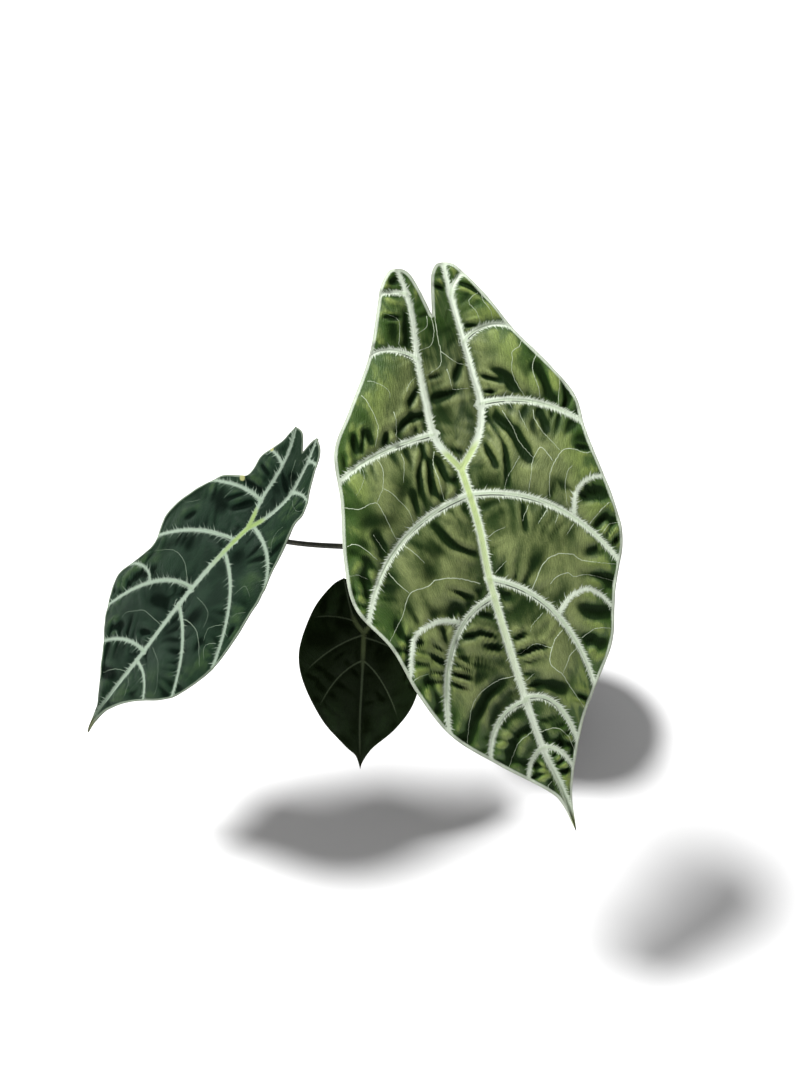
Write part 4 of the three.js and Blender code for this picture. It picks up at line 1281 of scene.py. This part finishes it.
def leaf_skin(name, tones, teeth, barbs, roughness):
    """A leaf's skin, coloured by the veins, folds and edges that its mesh knows of, with painted light
    and shade on its relief.
    """
    made, tree, skin = new_material(name, IOR=1.45)
    texture = add(tree, "ShaderNodeGroup", node_tree=grain)
    brushed, blotch, fine = (texture[label] for label in ("Brushed", "Blotch", "Fine"))
    swell, edge_gap, crest = (read(tree, label) for label in ("swell", "edge_gap", "crest"))
    from_vein = away_from(tree, "vein")
    from_rib = away_from(tree, "rib")

    def times(*masks):
        return product(tree, *masks)

    def step(value, low, high, *span):
        """A soft step over a worked out value, or over one that the mesh holds by that name."""
        value = read(tree, value) if isinstance(value, str) else value
        return ramp(tree, value, low, high, *span)

    def paint(tone, mask, strength=1):
        nonlocal colour
        mask = times(mask, strength) if strength < 1 else mask
        colour = tint(tree, mask, colour, tones[tone])

    # Painted light and shade: the lamina is painted toward the lit tone where it bulges between the veins
    # and on the crests of its puckers, and toward the deep tone lower down. Random blotches add to this.
    light = maths(tree, "ADD", times(swell, 0.25), times(blotch, 0.25))
    light = maths(tree, "ADD", light, crest)
    colour = tint(tree, step(light, 0.45, 1.15), tones["deep"], tones["lit"])
    toward_tip = step("tip_gap", tones["tip_reach"], 0.3 * tones["tip_reach"])
    outer = maths(tree, "MAXIMUM", step(edge_gap, 26, 5), toward_tip)
    paint("outer", outer, 0.84)
    # Painted highlight: the most lit crests near the margins and the tip get a bright yellow-green.
    paint("crest_highlight", times(outer, step(light, 0.8, 1.15)), 0.75)
    paint("deep", brushed, 0.3)
    paint("deep", step(fine, 0.42, 0.7, 0.0, 0.5))
    paint("lit", step(fine, 0.45, 0.25, 0.0, 0.3))
    # Painted shade: the valleys of the folds and puckers are darkened nearly to black.
    paint("hollow_shade", step(crest, 0.52, 0.24), 0.9)

    end = tones["vein_end"]
    veins = times(feathered(tree, "vein", teeth, barbs), step("vein_share", end, end - 0.2))
    silver = maths(tree, "MAXIMUM", veins, feathered(tree, "rib", teeth, barbs * 0.7))
    paint("vein", silver)
    paint("heart", times(step(from_vein, 1.1, 0.5), step("vein_half", 0.9, 1.5)), 0.45)
    # Painted shadow: a dark line about 1 mm to one side of the middle of each wide side vein. The same
    # line is pressed in as a groove by the bump.
    crease_at = maths(tree, "ABSOLUTE", maths(tree, "SUBTRACT", read(tree, "vein_gap"), 1.0))
    shadowed_crease = times(
        step(crease_at, 0.5, 0.18),
        step("vein_reach", 2.6, 2.0),
        step("vein_share", 0.8, 0.2),
        step("vein_half", 1.1, 1.5),
        step("rib_reach", 2.0, 3.4),
        step(blotch, 0.0, 0.5, 0.45, 1.0),
    )
    paint("hollow_shade", shadowed_crease, 0.8)
    along_rib = times(step("joint_gap", tones["core_reach"], 8), step("lobe", 0.9, 0.4))
    paint("core", times(step(from_rib, 2.3, 0.8), along_rib), 0.85)

    wide = tones["margin_width"]
    frayed_edge = maths(tree, "ADD", edge_gap, times(fine, 1.6))
    paint("margin", step(frayed_edge, wide + 0.8, wide), 0.9)
    paint("rim", step(edge_gap, 0.8, 0.4), 0.7)
    paint("tip", step("tip_gap", 17, 8), 0.85)
    paint("dry_tip", step("tip_gap", 4, 1.5))
    paint("nick", step("nick", 0.3, 0.6))

    raised = maths(tree, "MAXIMUM", step(from_rib, 2.6, 1.8), step(from_vein, 1.5, 0.8))
    behind = tint(tree, times(blotch, 0.6), tones["under"], tones["under_light"])
    behind = tint(tree, times(raised, 0.85), behind, tones["under_rib"])
    colour = tint(tree, step("back", 0.2, 0.8), colour, behind)
    tree.links.new(colour, skin["Base Color"])

    dull = maths(tree, "ADD", times(fine, 0.16), times(silver, 0.12))
    tree.links.new(maths(tree, "ADD", dull, roughness), skin["Roughness"])
    sheen = step(crest, 0.25, 0.65, 0.15 * tones["sheen"], tones["sheen"])
    tree.links.new(sheen, skin["Specular IOR Level"])
    relief = maths(tree, "ADD", times(brushed, 0.5), times(fine, 0.5))
    relief = maths(tree, "SUBTRACT", relief, times(shadowed_crease, 1.2))
    bump(tree, skin, relief, 0.00042)
    return made


def thread_mesh(name, lines, blade, joint, axes):
    """Fine veins as slim threads laid along the blade's upper face."""
    across, lobes, upper = axes
    faces = [tuple(face.vertices) for face in blade.data.polygons]
    surface = BVHTree.FromPolygons([tuple(v.co) for v in blade.data.vertices], faces)
    wobble = np.random.default_rng(31)
    places = []
    made = []
    for *points, wide in lines:
        line = smooth_line(points, 12 * len(points))
        run = run_length(line)
        count = max(4, round(run[-1] / THREAD_STEP))
        middle = at_length(line, np.linspace(0, run[-1], count))
        ahead = np.gradient(middle, axis=0)
        left = np.stack([-ahead[:, 1], ahead[:, 0]], 1)
        left = left / np.linalg.norm(left, axis=1)[:, None]
        middle = middle + left * wobble.normal(0, THREAD_WOBBLE, (count, 1))
        taper = 0.35 + 0.65 * np.linspace(1, 0, count) ** 0.7
        half = wide * THREAD_SHARE / 2 * taper * wobble.uniform(0.75, 1.15, count)
        rings = []
        for shift, lift in ((1, -0.05), (0, THREAD_RISE), (-1, -0.05), (0, -0.3)):
            ring = []
            for spot in middle + left * (half * shift)[:, None]:
                above = np.array(joint) + spot[0] * across + spot[1] * lobes
                above = above + THREAD_CAST * upper
                hit = surface.ray_cast(tuple(above * MM), tuple(-upper))[0]
                ring.append(np.array(hit) / MM + lift * upper if hit else None)
            rings.append(ring)
        kept = [k for k in range(count) if all(ring[k] is not None for ring in rings)]
        base = len(places)
        for k in kept:
            places += [ring[k] for ring in rings]
        for k in range(len(kept) - 1):
            low = base + 4 * k
            for a in range(4):
                b = (a + 1) % 4
                made.append((low + a, low + b, low + 4 + b, low + 4 + a))
        last = base + 4 * (len(kept) - 1)
        made += [(base + 3, base + 2, base + 1, base), (last, last + 1, last + 2, last + 3)]
    return mesh_from(name, places, made)


def blade_pieces(size, leaf, tones, **finish):
    """The lamina of one blade and, where its fine veins show, the threads that they stand as."""
    stalk = STALKS[size]
    skin = leaf_skin(f"{size}_leaf_skin", tones, **finish)
    name = f"leaf_blade_{size}_lamina"
    lamina = new_object(name, blade_mesh(name, leaf, stalk["joint"], stalk["axes"]))
    lamina.data.materials.append(skin)
    if "net" not in leaf:
        return [lamina]
    name = f"leaf_blade_{size}_veinlets"
    skin, _, _ = new_material(f"{name}_skin", Base_Color=tones["thread"], Roughness=0.5)
    mesh = thread_mesh(name, leaf["net"], lamina, stalk["joint"], stalk["axes"])
    mesh.materials.append(skin)
    return [lamina, new_object(name, mesh)]


# Tones of the large blade: lit is the lamina's painted lit colour, the bright crest tone is a painted
# highlight and the near-black fold tone is painted shade.
LARGE_TONES = {
    "sheen": 0.32, "deep": (0.018, 0.042, 0.007, 1), "lit": (0.235, 0.280, 0.100, 1),
    "outer": (0.034, 0.092, 0.009, 1), "crest_highlight": (0.310, 0.400, 0.095, 1),
    "hollow_shade": (0.006, 0.016, 0.004, 1), "vein": (0.670, 0.745, 0.610, 1),
    "heart": (0.420, 0.540, 0.330, 1), "core": (0.460, 0.590, 0.200, 1), "core_reach": 165,
    "margin": (0.580, 0.650, 0.520, 1), "rim": (0.420, 0.460, 0.360, 1), "margin_width": 2.2,
    "vein_end": 1.3, "nick": (0.500, 0.520, 0.200, 1),
    "tip_reach": 110, "tip": (0.290, 0.340, 0.135, 1), "thread": (0.520, 0.600, 0.440, 1),
    "dry_tip": (0.035, 0.024, 0.012, 1), "under": (0.050, 0.030, 0.036, 1),
    "under_light": (0.090, 0.080, 0.050, 1), "under_rib": (0.280, 0.340, 0.160, 1),
}

for piece in blade_pieces("large", LARGE, LARGE_TONES, teeth=1.7, barbs=2.3, roughness=0.38):
    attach(piece, "root")
    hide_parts("leaf_blade_large")


# The medium blade: an older leaf of the same kind, dark blue-green, seen across at a slant.

MEDIUM = {
    "cell": 0.95,
    "rows": 46,
    "lobe_rows": 24,
    "arch": (420, -150),
    "gutter": (0.12, 260),
    "quilt": 3.0,
    "ripple": 0.9,
    "busy": 0.5,
    "pleat_spacing": 8,
    "fold_depth": 1.4,
    "rib_half": 1.9,
    "vein_half": 1.3,
    "midrib": [(0, 0), (1, -34), (4, -93), (4, -120), (2, -150), (0, -188)],
    "left": {
        "rib": [(0, 0), (-9, 19), (-12, 37), (-16, 55), (-22, 68)],
        "margin": [
            (-22, 68), (-25, 55), (-32, 38), (-31, 20), (-48, 5), (-58, -22), (-60, -44),
            (-50, -63), (-54, -82), (-59, -101), (-46, -123), (-25, -142), (-6, -163),
            (-2, -173), (0, -188),
        ],
        "inner": [(-22, 68), (-13, 69), (-4, 61)],
        "veins": [
            [(-13, 44), (-20, 47), (-29, 44)], [(-8, 18), (-28, 16), (-51, -3)],
            [(1, -12), (-30, -25), (-52, -56)], [(3, -55), (-28, -64), (-48, -118)],
            [(3, -111), (-15, -114), (-31, -134)],
        ],
    },
    "right": {
        "rib": [(0, 0), (5, 14), (8, 34), (5, 55), (3, 65), (1, 75)],
        "margin": [
            (1, 75), (10, 71), (17, 57), (28, 38), (30, 26), (43, -2), (54, -27), (61, -57),
            (59, -89), (47, -114), (27, -135), (10, -158), (3, -176), (0, -188),
        ],
        "inner": [(1, 75), (-2, 70), (-4, 61)],
        "veins": [
            [(4, 60), (10, 64), (15, 63)], [(9, 38), (16, 45), (27, 44)],
            [(1, 3), (32, 8), (49, -13)], [(0, -23), (40, -26), (60, -73)],
            [(3, -70), (36, -76), (51, -110)], [(4, -120), (21, -115), (33, -130)],
        ],
    },
    "branches": [((-29, -79), (-34, -76), (-42, -77), (-51, -82), (-54, -86), 1.3)],
    "nicks": [((-31.5, 17), 2.4), ((-29, 45), 1.6)],
    "net": [
        ((-3, -56), (-16, -49), (-29, -51), (-41, -62), 0.8),
        ((3, -89), (-10, -92), (-16, -94), (-22, -100), (-28, -107), (-29, -112), 0.7),
        ((17, -71), (25, -68), (34, -67), (43, -71), (54, -78), 1.1),
        ((13, -55), (21, -53), (30, -53), (34, -57), (36, -61), 0.6),
        ((35, -32), (38, -22), (46, -23), 0.5), ((47, -41), (48, -37), (52, -31), 0.6),
        ((45, -49), (41, -55), (40, -60), (43, -66), 0.7),
        ((51, -60), (47, -66), (48, -69), (53, -73), 0.7),
        ((10, -103), (22, -103), (27, -105), (36, -114), (38, -119), 0.5),
        ((3, -131), (-5, -137), (-15, -149), 0.9), ((7, -132), (13, -133), (17, -141), 0.5),
        ((6, -146), (11, -152), 0.5), ((-5, 54), (-1, 45), (6, 40), 0.6),
        ((-44, -16), (-52, -25), (-57, -27), 0.4), ((31, 4), (24, 13), (25, 21), 0.4),
        ((14, 36), (23, 34), (27, 40), (25, 43), 0.5), ((-30, -1), (-31, 8), 0.4),
    ],
    "folds": [
        ((-18, 0), (-13, 12), 1.9, 1), ((-28, 17), (-12, 22), 1.9, 1), ((-50, 6), (-37, 14), 1.6, 1),
        ((-43, -33), (-39, -23), 2.2, 0.7), ((-41, -100), (-43, -90), (-38, -79), 3.4, 1),
        ((-34, -126), (-24, -115), 2.3, 0.9), ((-8, -105), (1, -98), 2.2, 0.9),
        ((-28, 33), (-17, 33), 1.4, 0.8), ((-27, 1), (-22, 12), 1.5, 0.7),
        ((-56, -109), (-40, -103), 2.3, 0.6), ((-19, -86), (-4, -77), 3.7, 0.5),
        ((-19, -151), (-3, -140), 3, 0.6), ((55, -52), (53, -43), 1.8, 0.8),
        ((44, -77), (41, -66), 3.5, 0.5), ((-12, 42), (10, 34), 1.4, 0.6),
        ((-18, -24), (-2, -21), 2.2, 0.4),
    ],
}
# As on the large blade, the lit, bright crest and near-black fold tones are painted light and shade.
MEDIUM_TONES = {
    "sheen": 0.12, "deep": (0.007, 0.017, 0.010, 1), "lit": (0.014, 0.033, 0.018, 1),
    "outer": (0.009, 0.028, 0.011, 1), "crest_highlight": (0.040, 0.080, 0.026, 1),
    "hollow_shade": (0.002, 0.005, 0.003, 1), "vein": (0.270, 0.340, 0.265, 1),
    "heart": (0.210, 0.290, 0.190, 1), "core": (0.240, 0.340, 0.095, 1), "core_reach": 45,
    "margin": (0.240, 0.300, 0.220, 1), "rim": (0.180, 0.215, 0.155, 1), "margin_width": 1.3,
    "vein_end": 1.3, "nick": (0.360, 0.370, 0.160, 1),
    "tip_reach": 40, "tip": (0.160, 0.175, 0.080, 1), "thread": (0.170, 0.230, 0.160, 1),
    "dry_tip": (0.110, 0.110, 0.050, 1), "under": (0.040, 0.022, 0.030, 1),
    "under_light": (0.070, 0.060, 0.045, 1), "under_rib": (0.200, 0.260, 0.130, 1),
}

for piece in blade_pieces("medium", MEDIUM, MEDIUM_TONES, teeth=1.3, barbs=4.5, roughness=0.36):
    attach(piece, "root")
    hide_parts("leaf_blade_medium")


# The small blade: the oldest leaf, rounder and nearly black, with thin plain veins.

SMALL = {
    "cell": 0.9,
    "rows": 34,
    "lobe_rows": 12,
    "arch": (300, 300),
    "gutter": (0.15, 150),
    "quilt": 1.8,
    "ripple": 0.3,
    "busy": 0.8,
    "pleat_spacing": 11,
    "fold_depth": 0.5,
    "rib_half": 1.1,
    "vein_half": 0.7,
    "midrib": [(0, 0), (-1, -27), (-3, -64), (-3, -97)],
    "left": {
        "rib": [(0, 0), (-6, 8), (-10, 20), (-14, 38)],
        "margin": [
            (-14, 38), (-22, 33), (-34, 18), (-43, -4), (-45, -20), (-41, -37), (-29, -61),
            (-13, -80), (-6, -87), (-3, -97),
        ],
        "inner": [(-14, 38), (-6, 34), (0, 26)],
        "veins": [
            [(-7, 8), (-22, 14), (-38, 11)], [(0, -1), (-24, -8), (-43, -30)],
            [(-1, -19), (-20, -26), (-33, -55)],
        ],
    },
    "right": {
        "rib": [(0, 0), (6, 8), (10, 20), (13, 38)],
        "margin": [
            (13, 38), (22, 33), (35, 18), (42, -4), (41, -26), (34, -50), (22, -67), (6, -81),
            (-1, -91), (-3, -97),
        ],
        "inner": [(13, 38), (6, 34), (0, 26)],
        "veins": [
            [(7, 9), (21, 14), (38, 10)], [(0, -3), (22, -8), (41, -26)],
            [(-1, -19), (15, -30), (25, -64)],
        ],
    },
    "branches": [],
    "folds": [((-12, -12), (-20, -18), 1.5, 0.6), ((8, -40), (14, -48), 1.8, 0.6)],
}
# As on the large blade, the lit, bright crest and near-black fold tones are painted light and shade.
SMALL_TONES = {
    "sheen": 0.06, "deep": (0.006, 0.011, 0.003, 1), "lit": (0.010, 0.018, 0.006, 1),
    "outer": (0.009, 0.019, 0.005, 1), "crest_highlight": (0.014, 0.032, 0.008, 1),
    "hollow_shade": (0.004, 0.007, 0.002, 1), "vein": (0.060, 0.080, 0.045, 1),
    "heart": (0.060, 0.085, 0.040, 1), "core": (0.085, 0.110, 0.045, 1), "core_reach": 30,
    "margin": (0.016, 0.028, 0.009, 1), "rim": (0.030, 0.042, 0.018, 1), "margin_width": 0.6,
    "vein_end": 0.92, "nick": (0.100, 0.100, 0.040, 1),
    "tip_reach": 30, "tip": (0.016, 0.022, 0.009, 1),
    "dry_tip": (0.060, 0.040, 0.024, 1), "under": (0.030, 0.018, 0.024, 1),
    "under_light": (0.050, 0.044, 0.034, 1), "under_rib": (0.110, 0.140, 0.075, 1),
}

for piece in blade_pieces("small", SMALL, SMALL_TONES, teeth=0.15, barbs=0.2, roughness=0.34):
    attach(piece, "root")
    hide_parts("leaf_blade_small")
